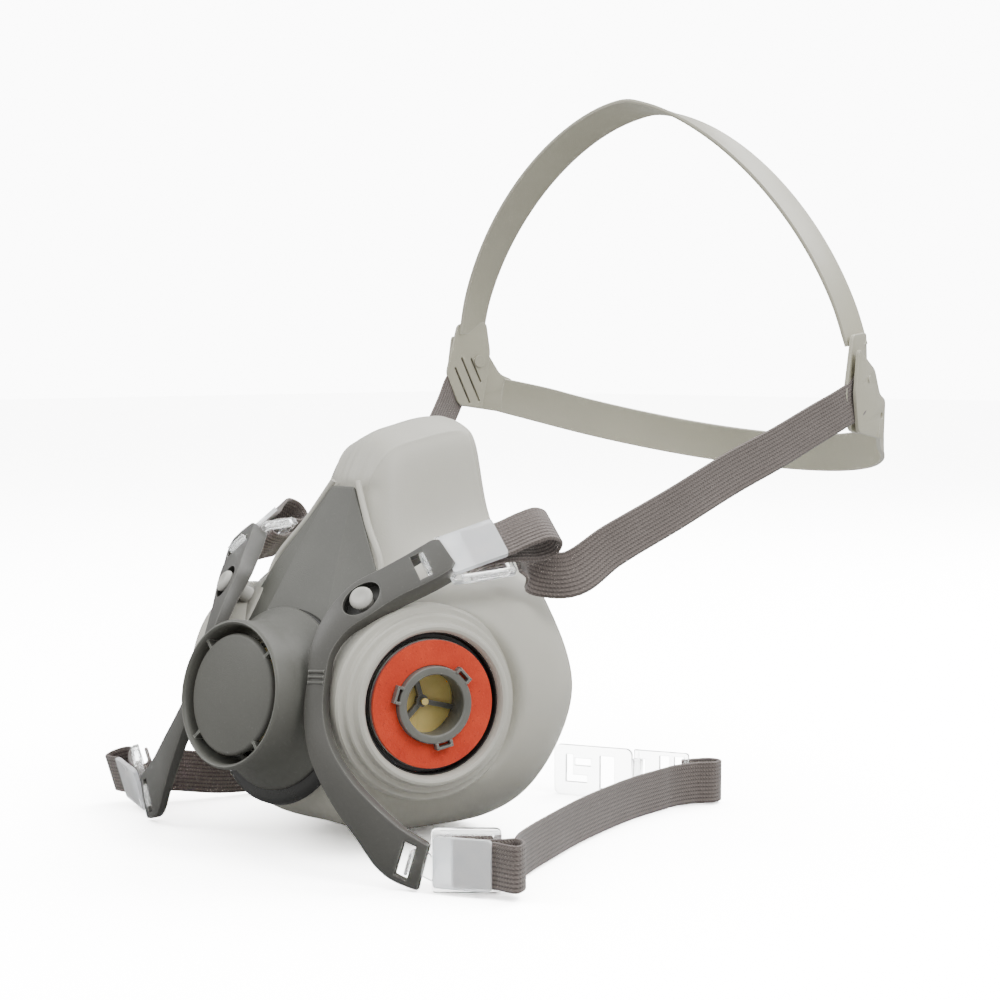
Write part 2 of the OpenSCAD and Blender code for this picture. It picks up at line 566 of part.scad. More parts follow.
// a point of the nape band's side plate
function plate_row(sd, y, z) = let (x = cradle_r - 0.6 + nape_x * cos(plate_turn) - y * sin(plate_turn),
    p = lean([sd * x, plate_y + nape_x * sin(plate_turn) + y * cos(plate_turn), z]))
    [p.x, p.y, p.z, 0, 0, 1, nape_w - 1];
function nape_row(a) = let (p = lean([nape_r * cos(a) + nape_sway * sin(a) * sin(a),
      nape_y + nape_b * sin(a), nape_z - nape_drop * sin(a)]))
    [p.x, p.y, p.z, 0.05 * cos(a), -0.16 * sin(a), 1, nape_w];
module nape_band() {
  step = (180 - 2 * nape_from) / 16;
  rows = concat([plate_row(1, 21, 150)], [for (a = [nape_from:step:180 - nape_from + 1]) nape_row(a)],
    [plate_row(-1, 21, 150)]);
  color([0.66, 0.66, 0.61]) grounded() difference() {
    union() {
      band(rows, cradle_t, 2);
      for (sd = [-1, 1]) on_side(sd) translate([nape_x, 0, 0]) side_plate(nape_plate);
    }
    for (sd = [-1, 1]) on_side(sd) {
      side_hole(6.4, 165.5, 1.35);
      side_hole(23, 151, 1.3);
    }
  }
}
module cradle_peg(sd) {
  color([0.66, 0.66, 0.61]) grounded() on_side(sd) translate([-cradle_t / 2 - 1, 6.4, 165.5])
    rotate([0, 90, 0]) {
      cylinder(h = nape_x + cradle_t + 1.4, r = 1.3, $fn = fine);
      cylinder(h = 0.95, r = 2.6, $fn = fine);
    }
}

facepiece();
retaining_studs();
front_cover();
exhalation_seat();
exhalation_valve();
connector(-1);  // left_connector
connector(1);  // right_connector
gasket(-1);  // left_gasket
gasket(1);  // right_gasket
port_nut(-1);  // left_port_nut
port_nut(1);  // right_port_nut
inhalation_valve(-1);  // left_inhalation_valve
inhalation_valve(1);  // right_inhalation_valve
yoke_arm(-1);  // left_yoke_arm
yoke_arm(1);  // right_yoke_arm
buckle(0, -1);  // left_upper_buckle
buckle(0, 1);  // right_upper_buckle
buckle(1, -1);  // left_lower_buckle
buckle(1, 1);  // right_lower_buckle
tongue(0, -1);  // left_upper_tongue
tongue(0, 1);  // right_upper_tongue
tongue(1, -1);  // left_lower_tongue
tongue(1, 1);  // right_lower_tongue
strap_loop(0, -1);  // left_upper_loop
strap_loop(0, 1);  // right_upper_loop
strap_loop(1, -1);  // left_lower_loop
strap_loop(1, 1);  // right_lower_loop
upper_strap(-1);  // left_upper_strap
upper_strap(1);  // right_upper_strap
lower_strap(-1);  // left_lower_strap
lower_strap(1);  // right_lower_strap
crown_band();
nape_band();
cradle_peg(-1);  // left_cradle_peg
cradle_peg(1);  // right_cradle_peg
neck_slider(-1);  // left_neck_slider
right_slider();  // right_neck_slider
neck_eye();
neck_hook();
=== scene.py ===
import bpy, bmesh, math
import numpy as np
from mathutils import Matrix, Vector


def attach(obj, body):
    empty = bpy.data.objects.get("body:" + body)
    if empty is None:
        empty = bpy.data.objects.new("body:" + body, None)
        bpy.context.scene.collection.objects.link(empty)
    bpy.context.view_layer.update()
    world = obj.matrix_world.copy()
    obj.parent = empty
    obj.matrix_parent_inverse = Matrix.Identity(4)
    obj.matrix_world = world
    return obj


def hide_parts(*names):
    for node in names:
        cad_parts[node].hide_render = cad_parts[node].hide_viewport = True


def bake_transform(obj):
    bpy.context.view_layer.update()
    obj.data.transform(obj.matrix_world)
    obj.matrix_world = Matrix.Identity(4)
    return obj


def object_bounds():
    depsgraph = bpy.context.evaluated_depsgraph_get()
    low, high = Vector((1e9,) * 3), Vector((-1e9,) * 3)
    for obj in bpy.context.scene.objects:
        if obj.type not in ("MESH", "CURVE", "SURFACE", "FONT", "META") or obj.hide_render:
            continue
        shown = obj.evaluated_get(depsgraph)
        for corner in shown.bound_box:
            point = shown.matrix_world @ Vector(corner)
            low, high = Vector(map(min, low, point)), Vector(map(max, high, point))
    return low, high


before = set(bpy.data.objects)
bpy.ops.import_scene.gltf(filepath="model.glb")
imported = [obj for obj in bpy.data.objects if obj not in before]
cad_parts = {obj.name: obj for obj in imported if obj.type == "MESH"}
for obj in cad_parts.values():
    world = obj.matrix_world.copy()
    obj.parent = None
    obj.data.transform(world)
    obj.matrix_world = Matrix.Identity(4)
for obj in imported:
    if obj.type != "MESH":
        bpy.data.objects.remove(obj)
cadBox = [list(corner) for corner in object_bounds()]
print("frame loaded")

studPlane = 127.24  # mm from the studs' plane back to the middle of the footprint


def addObject(name, data):
    thing = bpy.data.objects.new(name, data)
    bpy.context.scene.collection.objects.link(thing)
    return thing


# camera, light and floor

studio = {"cameraSpot": (0.5100, -0.56514, 0.1715), "turn": 43.29, "tilt": 4.27, "lens": 70.13,
          "floorTone": (0.93, 0.93, 0.925), "floorBounce": (0.34, 0.34, 0.335), "floorSeen": 8.0,
          "skyTone": (1.0, 1.0, 1.0), "skyLow": 0.38, "skyHigh": 1.75, "skySeen": 11.0,
          "lamps": [((-0.7, -0.95, 0.9), 0.7, 5.5), ((1.0, -0.1, 1.0), 0.6, 9.0),
              ((0.1, 0.8, 1.1), 1.0, 12.0)]}


def placeCamera(setup):
    camera = addObject("studioCamera", bpy.data.cameras.new("studioCamera"))
    camera.data.lens, camera.data.sensor_width = setup["lens"], 36
    camera.data.clip_start, camera.data.clip_end = 0.05, 30
    turn, tilt = math.radians(setup["turn"]), math.radians(setup["tilt"])
    back = Vector((math.sin(turn) * math.cos(tilt), -math.cos(turn) * math.cos(tilt), math.sin(tilt)))
    right = Vector((math.cos(turn), math.sin(turn), 0))
    stance = Matrix((right, back.cross(right), back)).transposed().to_4x4()
    stance.translation = setup["cameraSpot"]
    camera.matrix_world = stance
    bpy.context.scene.camera = camera


placeCamera(studio)


# points, rows and solids, all in millimetres with Y = 0 at the studs

def unit(v):
    v = np.asarray(v, float)
    return v / np.linalg.norm(v)


def squareTo(v, axis):
    v, axis = np.asarray(v, float), np.asarray(axis, float)
    return unit(v - v.dot(axis) * axis)


def stand(origin, ex, ey):  # local frame with its x and y along two directions
    m = np.eye(4)
    m[:3, 0], m[:3, 1], m[:3, 2], m[:3, 3] = ex, ey, np.cross(ex, ey), origin
    return m


def turned(angle, axis):
    m = np.eye(4)
    m[:3, :3] = np.array(Matrix.Rotation(math.radians(angle), 3, Vector(axis)))
    return m


def shifted(x, y, z):
    m = np.eye(4)
    m[:3, 3] = (x, y, z)
    return m


def smoothRows(rows, steps, closed=False):  # steps is one number or one for each stretch
    p = np.array(rows, float)
    if closed:
        p = np.vstack([p[-1:], p, p[:2]])
    gap = np.maximum(np.linalg.norm(np.diff(p[:, :3], axis=0), axis=1), 1e-4) ** 0.75
    slope = np.zeros_like(p)
    slope[0], slope[-1] = (p[1] - p[0]) / gap[0], (p[-1] - p[-2]) / gap[-1]
    for i in range(1, len(p) - 1):
        a, b = gap[i - 1], gap[i]
        slope[i] = ((p[i] - p[i - 1]) / a * b + (p[i + 1] - p[i]) / b * a) / (a + b)
    first, last = (1, len(p) - 2) if closed else (0, len(p) - 1)
    out = []
    for i in range(first, last):
        count = steps[i - first] if hasattr(steps, "__len__") else steps
        for t in np.arange(count) / count:
            out.append((2 * t**3 - 3 * t**2 + 1) * p[i] + (t**3 - 2 * t**2 + t) * gap[i] * slope[i]
                       + (3 * t**2 - 2 * t**3) * p[i + 1] + (t**3 - t**2) * gap[i] * slope[i + 1])
    if not closed:
        out.append(p[-1])
    return np.array(out)


def ringSolid(rings, ends=True, uvs=None):  # rings of equal length, joined in order
    rings = np.array(rings, float)
    n, m = rings.shape[:2]
    faces = [(i * m + j, i * m + (j + 1) % m, (i + 1) * m + (j + 1) % m, (i + 1) * m + j)
             for i in range(n - 1) for j in range(m)]
    if ends:
        faces += [tuple(range(m - 1, -1, -1)), tuple((n - 1) * m + j for j in range(m))]
    return rings.reshape(-1, 3), faces, uvs


def sweep(rows, section, steps):  # rows are x, y, z, across x, y, z, width; section gives across, out
    path = smoothRows(rows, steps)
    ahead = np.gradient(path[:, :3], axis=0)
    along = np.concatenate([[0], np.cumsum(np.linalg.norm(np.diff(path[:, :3], axis=0), axis=1))])
    rings, uvs = [], []
    for i, row in enumerate(path):
        t = unit(ahead[i])
        across = squareTo(row[3:6], t)
        out = np.cross(t, across)
        outline = section(row[6], i / (len(path) - 1))
        rings.append([row[:3] + a * across + o * out for a, o in outline])
        uvs += [(a / 1000, along[i] / 1000) for a, o in outline]
    return ringSolid(rings, True, uvs)


def lathe(profile, segments=96):  # closed profile of radius and height, turned about z
    rings = []
    for k in range(segments):
        a = 2 * math.pi * k / segments
        rings.append([(r * math.cos(a), r * math.sin(a), z) for r, z in profile])
    n, m = segments, len(profile)
    verts = np.array(rings).reshape(-1, 3)
    faces = [(k * m + j, ((k + 1) % n) * m + j, ((k + 1) % n) * m + (j + 1) % m, k * m + (j + 1) % m)
             for k in range(n) for j in range(m)]
    return verts, faces, None


def block(centre, size):
    c, s = np.array(centre, float), np.array(size, float) / 2
    verts = [c + s * np.array((x, y, z)) for x in (-1, 1) for y in (-1, 1) for z in (-1, 1)]
    faces = [(0, 1, 3, 2), (4, 6, 7, 5), (0, 4, 5, 1), (2, 3, 7, 6), (0, 2, 6, 4), (1, 5, 7, 3)]
    return np.array(verts), faces, None


def moved(solid, matrix):
    verts, faces, uvs = solid
    verts = verts @ matrix[:3, :3].T + matrix[:3, 3]
    return verts, faces, uvs


def flipped(solid, side):  # side -1 mirrors left to right
    verts, faces, uvs = solid
    if side > 0:
        return solid
    return verts * np.array((-1, 1, 1)), [tuple(reversed(f)) for f in faces], uvs


def joined(solids):
    verts, faces, uvs, base = [], [], [], 0
    for v, f, u in solids:
        verts.append(v)
        faces += [tuple(i + base for i in face) for face in f]
        uvs += list(u) if u is not None else [(0, 0)] * len(v)
        base += len(v)
    return np.vstack(verts), faces, uvs


def meshFrom(name, solid):
    verts, faces, uvs = solid
    verts = (np.asarray(verts) - np.array((0, studPlane, 0))) / 1000
    mesh = bpy.data.meshes.new(name)
    mesh.from_pydata(verts.tolist(), [], [list(f) for f in faces])
    if uvs is not None:
        layer = mesh.uv_layers.new(name="lengths")
        for loop in mesh.loops:
            layer.data[loop.index].uv = uvs[loop.vertex_index]
    tidy = bmesh.new()
    tidy.from_mesh(mesh)
    bmesh.ops.dissolve_degenerate(tidy, dist=1e-7, edges=tidy.edges)
    bmesh.ops.recalc_face_normals(tidy, faces=tidy.faces)
    tidy.to_mesh(mesh)
    tidy.free()
    return mesh


def settle(thing):  # applies an object's modifiers
    graph = bpy.context.evaluated_depsgraph_get()
    mesh = bpy.data.meshes.new_from_object(thing.evaluated_get(graph))
    old = thing.data
    thing.modifiers.clear()
    thing.data = mesh
    mesh.name = thing.name
    if isinstance(old, bpy.types.Mesh):
        bpy.data.meshes.remove(old)


def cut(thing, solids):
    tools = []
    for k, solid in enumerate(solids):
        tool = addObject(f"{thing.name}_tool{k}", meshFrom(f"tool{k}", solid))
        step = thing.modifiers.new(f"cut{k}", "BOOLEAN")
        step.operation, step.solver, step.object = "DIFFERENCE", "EXACT", tool
        tools.append(tool)
    settle(thing)
    for tool in tools:
        data = tool.data
        bpy.data.objects.remove(tool)
        bpy.data.meshes.remove(data)


def shade(thing, angle=35):
    thing.data.set_sharp_from_angle(angle=math.radians(angle))
    for polygon in thing.data.polygons:
        polygon.use_smooth = True


def soften(thing, width, segments=2, angle=40):
    step = thing.modifiers.new("softEdges", "BEVEL")
    step.width, step.segments, step.limit_method = width / 1000, segments, "ANGLE"
    step.angle_limit = math.radians(angle)


def addPiece(name, solid, look, body="mask", replaces=(), cuts=(), bevel=0, angle=35):
    thing = addObject(name, meshFrom(name, solid))
    if cuts:
        cut(thing, cuts)
    if bevel:
        soften(thing, bevel)
        settle(thing)
    shade(thing, angle)
    thing.data.materials.clear()
    thing.data.materials.append(look)
    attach(thing, body)
    if replaces:
        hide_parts(*replaces)
    return thing


# effects that several finishes share, each one a node group

def newGroup(name, inputs, outputs):
    group = bpy.data.node_groups.new(name, "ShaderNodeTree")
    for label, kind, value in inputs:
        socket = group.interface.new_socket(label, in_out="INPUT", socket_type=kind)
        socket.default_value = value
    for label, kind in outputs:
        group.interface.new_socket(label, in_out="OUTPUT", socket_type=kind)
    return group, group.nodes.new("NodeGroupInput"), group.nodes.new("NodeGroupOutput")


def feed(tree, socket, value):  # links an output, or sets a plain value
    if hasattr(value, "is_output"):
        tree.links.new(value, socket)
    else:
        socket.default_value = value


def mathNode(tree, kind, a, b=None, clamp=False):
    node = tree.nodes.new("ShaderNodeMath")
    node.operation, node.use_clamp = kind, clamp
    feed(tree, node.inputs[0], a)
    if b is not None:
        feed(tree, node.inputs[1], b)
    return node.outputs[0]


def noiseNode(tree, vector, scale, detail=3, rough=0.55):
    node = tree.nodes.new("ShaderNodeTexNoise")
    node.inputs["Detail"].default_value, node.inputs["Roughness"].default_value = detail, rough
    tree.links.new(vector, node.inputs["Vector"])
    feed(tree, node.inputs["Scale"], scale)
    return node.outputs["Fac"]


def rangeNode(tree, value, low, high, outLow=0.0, outHigh=1.0):
    node = tree.nodes.new("ShaderNodeMapRange")
    for i, v in enumerate((value, low, high, outLow, outHigh)):
        feed(tree, node.inputs[i], v)
    return node.outputs[0]


def buildMouldGrain():  # fine moulded texture with slow cloudy variation
    group, put, get = newGroup("mouldGrain", [("Grain Scale", "NodeSocketFloat", 2200.0),
        ("Cloud Scale", "NodeSocketFloat", 28.0),
                                             ("Grain Depth", "NodeSocketFloat", 0.5)],
                               [("Height", "NodeSocketFloat"), ("Cloud", "NodeSocketFloat"),
                                   ("Speck", "NodeSocketFloat")])
    where = group.nodes.new("ShaderNodeTexCoord").outputs["Object"]
    grain = noiseNode(group, where, put.outputs["Grain Scale"], 2)
    cloud = noiseNode(group, where, put.outputs["Cloud Scale"], 4)
    speck = noiseNode(group, where, 900, 3, 0.7)
    group.links.new(mathNode(group, "MULTIPLY", grain, put.outputs["Grain Depth"]), get.inputs["Height"])
    group.links.new(rangeNode(group, cloud, 0.3, 0.7), get.inputs["Cloud"])
    group.links.new(rangeNode(group, speck, 0.62, 0.72), get.inputs["Speck"])
    return group


def buildEdgeWearAndHighlight():  # pale mask along convex and hollow edges: partly rubbed wear, partly painted highlight
    group, put, get = newGroup("edgeWearAndHighlight", [("Reach", "NodeSocketFloat", 0.0006)],
        [("Mask", "NodeSocketFloat")])
    bevel = group.nodes.new("ShaderNodeBevel")
    bevel.samples = 4
    group.links.new(put.outputs["Reach"], bevel.inputs["Radius"])
    geometry = group.nodes.new("ShaderNodeNewGeometry")
    turn = group.nodes.new("ShaderNodeVectorMath")
    turn.operation = "DOT_PRODUCT"
    group.links.new(bevel.outputs[0], turn.inputs[0])
    group.links.new(geometry.outputs["Normal"], turn.inputs[1])
    where = group.nodes.new("ShaderNodeTexCoord").outputs["Object"]
    patchy = rangeNode(group, noiseNode(group, where, 160, 4), 0.35, 0.65, 0.4, 1.0)
    edge = rangeNode(group, turn.outputs["Value"], 0.995, 0.86)
    group.links.new(mathNode(group, "MULTIPLY", edge, patchy, True), get.inputs["Mask"])
    return group


def buildKnit():  # rows of tiny stitches along the elastic, laid out on its own lengths
    group, put, get = newGroup("knit", [("Stitch", "NodeSocketFloat", 0.0011),
        ("Rib", "NodeSocketFloat", 0.00145)],
                               [("Height", "NodeSocketFloat"), ("Shade", "NodeSocketFloat"),
                                   ("Fuzz", "NodeSocketFloat")])
    uv = group.nodes.new("ShaderNodeUVMap")
    uv.uv_map = "lengths"
    split = group.nodes.new("ShaderNodeSeparateXYZ")
    group.links.new(uv.outputs[0], split.inputs[0])
    u, v = split.outputs[0], split.outputs[1]
    column = mathNode(group, "DIVIDE", u, put.outputs["Rib"])
    slant = mathNode(group, "MULTIPLY", mathNode(group, "PINGPONG", column, 0.5), 1.3)
    course = mathNode(group, "ADD", mathNode(group, "DIVIDE", v, put.outputs["Stitch"]), slant)
    wave = mathNode(group, "SINE", mathNode(group, "MULTIPLY", course, 2 * math.pi))
    stitch = rangeNode(group, wave, -1, 1)
    where = group.nodes.new("ShaderNodeTexCoord").outputs["Object"]
    fuzz = noiseNode(group, where, 1400, 4, 0.7)
    group.links.new(mathNode(group, "ADD", mathNode(group, "MULTIPLY", stitch, 0.7),
        mathNode(group, "MULTIPLY", fuzz, 0.5)), get.inputs["Height"])
    rib = rangeNode(group, mathNode(group, "PINGPONG", column, 0.5), 0.05, 0.32)
    group.links.new(mathNode(group, "MULTIPLY", rib, rangeNode(group, stitch, 0, 1, 0.72, 1.0)),
        get.inputs["Shade"])
    group.links.new(rangeNode(group, fuzz, 0.45, 0.75), get.inputs["Fuzz"])
    return group


mouldGrain, edgeWearAndHighlight, knit = buildMouldGrain(), buildEdgeWearAndHighlight(), buildKnit()


def tone(r, g, b):  # a colour as a paint chart gives it, made linear
    return tuple(((c / 255 + 0.055) / 1.055) ** 2.4 if c > 10 else c / 255 / 12.92
        for c in (r, g, b)) + (1.0,)


def useGroup(tree, group, values):
    node = tree.nodes.new("ShaderNodeGroup")
    node.node_tree = group
    for label, value in values.items():
        node.inputs[label].default_value = value
    return node


def mixColour(tree, fac, a, b):
    node = tree.nodes.new("ShaderNodeMix")
    node.data_type = "RGBA"
    for i, value in ((0, fac), (6, a), (7, b)):  # the colour sockets of this node
        feed(tree, node.inputs[i], value)
    return node.outputs[2]


def newFinish(name):
    material = bpy.data.materials.new(name)
    material.use_nodes = True
    return material, material.node_tree, material.node_tree.nodes["Principled BSDF"]


def addBump(tree, shader, height, strength, distance=0.0002):
    bump = tree.nodes.new("ShaderNodeBump")
    bump.inputs["Strength"].default_value, bump.inputs["Distance"].default_value = strength, distance
    tree.links.new(height, bump.inputs["Height"])
    tree.links.new(bump.outputs[0], shader.inputs["Normal"])


def mouldedFinish(name, look):  # plastics and rubbers
    material, tree, shader = newFinish(name)
    grain = useGroup(tree, mouldGrain, {"Grain Scale": look["grainScale"], "Cloud Scale": look["cloudScale"],
        "Grain Depth": 1.0})
    colour = mixColour(tree, grain.outputs["Cloud"], tone(*look["tone"]), tone(*look["second"]))
    specks = mathNode(tree, "MULTIPLY", grain.outputs["Speck"], look["specks"])
    colour = mixColour(tree, specks, colour, tone(*look["speckTone"]))
    # edges mixed towards a paler tone: rubbed wear and a painted edge highlight
    wearAndHighlight = mathNode(tree, "MULTIPLY", useGroup(tree, edgeWearAndHighlight, {"Reach": 0.0006}).outputs["Mask"],
        look["wearAndHighlight"])
    colour = mixColour(tree, wearAndHighlight, colour, tone(*look["wearHighlightTone"]))
    tree.links.new(colour, shader.inputs["Base Color"])
    tree.links.new(rangeNode(tree, grain.outputs["Cloud"], 0, 1, look["rough"] - 0.05, look["rough"] + 0.06),
        shader.inputs["Roughness"])
    addBump(tree, shader, grain.outputs["Height"], look["bump"])
    for socket, value in look.get("shader", {}).items():
        shader.inputs[socket].default_value = value
    return material


# each finish's wear amount and pale edge tone paint both rubbed wear and a painted highlight along edges
finishes = {
    "elastomer": {
        "tone": (193, 191, 180), "second": (184, 182, 171), "rough": 0.46, "bump": 0.12,
        "grainScale": 1500, "cloudScale": 16, "specks": 0.1, "speckTone": (150, 148, 140),
        "wearAndHighlight": 0.5, "wearHighlightTone": (222, 221, 215), "shader": {"Subsurface Weight": 0.08,
            "Subsurface Radius": (0.004, 0.004, 0.003), "Sheen Weight": 0.1}},
    "coverPlastic": {
        "tone": (94, 94, 88), "second": (86, 86, 81), "rough": 0.47, "bump": 0.35,
        "grainScale": 2600, "cloudScale": 24, "specks": 0.18, "speckTone": (128, 130, 124),
        "wearAndHighlight": 0.75, "wearHighlightTone": (166, 168, 160)},
    "armPlastic": {
        "tone": (82, 81, 77), "second": (74, 74, 70), "rough": 0.42, "bump": 0.28,
        "grainScale": 2400, "cloudScale": 30, "specks": 0.15, "speckTone": (122, 123, 117),
        "wearAndHighlight": 0.75, "wearHighlightTone": (160, 160, 152)},
    "portPlastic": {
        "tone": (110, 110, 104), "second": (98, 98, 93), "rough": 0.36, "bump": 0.2,
        "grainScale": 2400, "cloudScale": 60, "specks": 0.12, "speckTone": (134, 134, 128),
        "wearAndHighlight": 0.8, "wearHighlightTone": (172, 171, 164)},
    "nutPlastic": {
        "tone": (72, 72, 69), "second": (64, 64, 61), "rough": 0.4, "bump": 0.2,
        "grainScale": 2400, "cloudScale": 40, "specks": 0.1, "speckTone": (96, 96, 92),
        "wearAndHighlight": 0.6, "wearHighlightTone": (120, 120, 116)},
    # near-black finish for the rings in the port groove and behind the drum's flange: painted shade in these
    # recesses
    "paintedRecessShade": {
        "tone": (38, 38, 36), "second": (30, 30, 29), "rough": 0.3, "bump": 0.1,
        "grainScale": 1500, "cloudScale": 60, "specks": 0.1, "speckTone": (70, 70, 66),
        "wearAndHighlight": 0.3, "wearHighlightTone": (90, 90, 86)},
    "gasketFelt": {
        "tone": (214, 62, 18), "second": (190, 46, 12), "rough": 0.8, "bump": 0.9,
        "grainScale": 1700, "cloudScale": 90, "specks": 0.8, "speckTone": (140, 30, 10),
        "wearAndHighlight": 0.2, "wearHighlightTone": (226, 96, 50), "shader": {"Sheen Weight": 0.25}},
    "membrane": {
        "tone": (242, 218, 138), "second": (232, 206, 122), "rough": 0.38, "bump": 0.1,
        "grainScale": 900, "cloudScale": 50, "specks": 0.1, "speckTone": (170, 152, 106),
        "wearAndHighlight": 0.2, "wearHighlightTone": (226, 214, 176), "shader": {"Subsurface Weight": 0.15,
            "Subsurface Radius": (0.003, 0.002, 0.001)}},
    "studRubber": {
        "tone": (190, 189, 182), "second": (178, 177, 170), "rough": 0.38, "bump": 0.15,
        "grainScale": 1500, "cloudScale": 120, "specks": 0.15, "speckTone": (150, 148, 140),
        "wearAndHighlight": 0.4, "wearHighlightTone": (226, 225, 220)},
    "cradlePlastic": {
        "tone": (180, 177, 158), "second": (168, 165, 148), "rough": 0.34, "bump": 0.12,
        "grainScale": 1900, "cloudScale": 14, "specks": 0.08, "speckTone": (184, 183, 170),
        "wearAndHighlight": 0.85, "wearHighlightTone": (216, 215, 204), "shader": {"Coat Weight": 0.15, "Coat Roughness": 0.3}},
}
looks = {name: mouldedFinish(name, look) for name, look in finishes.items()}

clearPlastics = {
    "clearPlastic": {"tone": (0.95, 0.97, 0.97, 1), "milk": (0.99, 0.99, 0.985, 1), "rough": 0.13,
        "through": 0.9},
    "milkyPlastic": {"tone": (0.86, 0.89, 0.92, 1), "milk": (0.96, 0.965, 0.97, 1), "rough": 0.2,
        "through": 0.35}}


def clearFinish(name, setup):  # milky clear plastic with faint flow marks
    material, tree, shader = newFinish(name)
    grain = useGroup(tree, mouldGrain, {"Grain Scale": 700.0, "Cloud Scale": 120.0, "Grain Depth": 1.0})
    tree.links.new(mixColour(tree, grain.outputs["Cloud"], setup["tone"], setup["milk"]),
        shader.inputs["Base Color"])
    tree.links.new(rangeNode(tree, grain.outputs["Cloud"], 0, 1, setup["rough"] - 0.06, setup["rough"]
        + 0.08), shader.inputs["Roughness"])
    addBump(tree, shader, grain.outputs["Height"], 0.12)
    shader.inputs["Transmission Weight"].default_value = setup["through"]
    shader.inputs["IOR"].default_value = 1.46
    return material


for name, setup in clearPlastics.items():
    looks[name] = clearFinish(name, setup)

elasticSetup = {"tone": tone(122, 112, 107), "groove": tone(74, 66, 62), "fuzzTone": tone(150, 141, 136),
                "rough": 0.86}


def elasticFinish(setup):
    material, tree, shader = newFinish("elasticWeb")
    weave = useGroup(tree, knit, {"Stitch": 0.0011, "Rib": 0.00145})
    cloud = useGroup(tree, mouldGrain, {"Grain Scale": 800.0, "Cloud Scale": 60.0, "Grain Depth": 1.0})
    colour = mixColour(tree, weave.outputs["Shade"], setup["groove"], setup["tone"])
    colour = mixColour(tree, mathNode(tree, "MULTIPLY", weave.outputs["Fuzz"], 0.45), colour,
        setup["fuzzTone"])
    colour = mixColour(tree, mathNode(tree, "MULTIPLY", cloud.outputs["Cloud"], 0.25), colour,
        setup["groove"])
    tree.links.new(colour, shader.inputs["Base Color"])
    tree.links.new(rangeNode(tree, weave.outputs["Fuzz"], 0, 1, setup["rough"] - 0.08, setup["rough"] + 0.08),
        shader.inputs["Roughness"])
    addBump(tree, shader, weave.outputs["Height"], 0.7, 0.0003)
    shader.inputs["Sheen Weight"].default_value = 0.35
    shader.inputs["Sheen Roughness"].default_value = 0.5
    return material


looks["elasticWeb"] = elasticFinish(elasticSetup)
print("finishes made")


# facepiece

facepiece = {
    "wall": 2.2,
    "cornerRun": 1.0,   # how tightly the hood's side panels turn into its front ridge
    "crisp": 0.45,   # how far the corner itself stands out
    "steps": [7, 3, 9, 10, 10, 9, 9, 9],   # points along each stretch of a half ring
    "levelSteps": [6, 7, 9, 9, 9, 12, 8],
    "rings": [
        [[0, -3, 79], [10, -4, 78], [17, -5, 70], [19, -6, 62], [19, -8, 54], [15, -10, 44], [9, -11, 38],
         [0, -11, 37]],
        [[0, 9, 98], [9, 8, 92], [18, 3, 84], [24, -3, 72], [26.5, -7, 56], [23, -8, 36], [14, -5, 23],
         [0, -4, 21]],
        [[0, 24, 126], [8, 22, 118], [20, 15, 98], [34, 7, 84], [43, 0, 57], [37, 1, 30], [22, 4, 13],
         [0, 8, 10]],
        [[0, 35.5, 142], [11.5, 34, 137], [25, 28, 104], [46, 23, 88], [55, 19, 57], [47, 18, 28],
         [30, 21, 9], [0, 26, 4]],
        [[0, 52, 147], [13.5, 50, 142], [26, 46, 108], [56, 44, 88], [66, 41, 56], [57, 38, 25], [35, 42, 8],
         [0, 46, 2]],
        [[0, 66, 149], [14.5, 64, 144], [27, 66, 110], [58, 62, 87], [67, 63, 54], [58, 58, 25], [36, 60, 8],
         [0, 64, 2.2]],
        [[0, 74, 148], [14.5, 73, 143.5], [26, 72, 110], [53, 70, 86], [61, 76, 54], [53, 69, 25],
         [34, 68, 9.5], [0, 72, 3.5]],
        [[0, 75, 141], [9, 76, 134], [20, 74, 106], [43, 73, 81], [51, 78, 54], [44, 72, 31], [27, 72, 17],
         [0, 75, 12]]],
    "pleats": (9, 0.35),   # how many across the front ridge, and how deep
    "edgeGroove": (5.72, 0.09, 0.9),   # where along, how wide and how deep the double rear edge is
}
port = {"origin": (53.5, 14.2, 55.3), "axis": unit((0.922, -0.384, 0.038)), "sunk": -7.5, "hole": 16.6,
        # how far from its axis the shell is flat, blends and is touched
        "flat": 29.5, "blend": 33, "reach": 33.5, "deep": 24,
        "rim": [(24.0, -12), (24.0, -0.8), (24.3, 0.6), (25.0, 1.5), (26.0, 1.8), (26.9, 1.5), (27.3, 0.6),
                (27.5, -0.6), (28.0, -1.1), (29.5, -1.3),
                (30.0, -1.8), (30.2, -3.2), (30.6, -3.7), (32.2, -4.0), (32.9, -4.7), (33.2, -6.2),
                (33.4, -9), (33.0, -14), (32.2, -20), (30.8, -20), (31, -12)],
        "groove": [(21.9, -6.4), (24.3, -6.4), (24.3, -1.8), (23.6, -1.5), (23.3, -2.2), (23.1, -4.4),
            (21.9, -4.4)]}
portUp = squareTo((0, 0, 1), port["axis"])
portFrame = stand(port["origin"], np.cross(portUp, port["axis"]), portUp)


def smoothStep(low, high, value):  # low may be the larger one
    t = np.clip((value - low) / (high - low), 0, 1)
    return t * t * (3 - 2 * t)


nose = {"top": (5.4, 22.9, 125.6), "corner": (27, 14, 97), "foot": (17, -2.5, 76.1), "low": (32, -3.5, 69.5),
        "chin": (13, -14, 70)}


def coverFace(x, z):  # how far forward the wedge over the nose lies
    top, corner, foot = (np.array(nose[k], float) for k in ("top", "corner", "foot"))
    front = foot[1] + (z - foot[2]) * (top[1] - foot[1]) / (top[2] - foot[2])
    n = np.cross(corner - top, foot - top)
    beside = top[1] - (n[0] * (np.abs(x) - top[0]) + n[2] * (z - top[2])) / n[1]
    return np.maximum(front, beside)


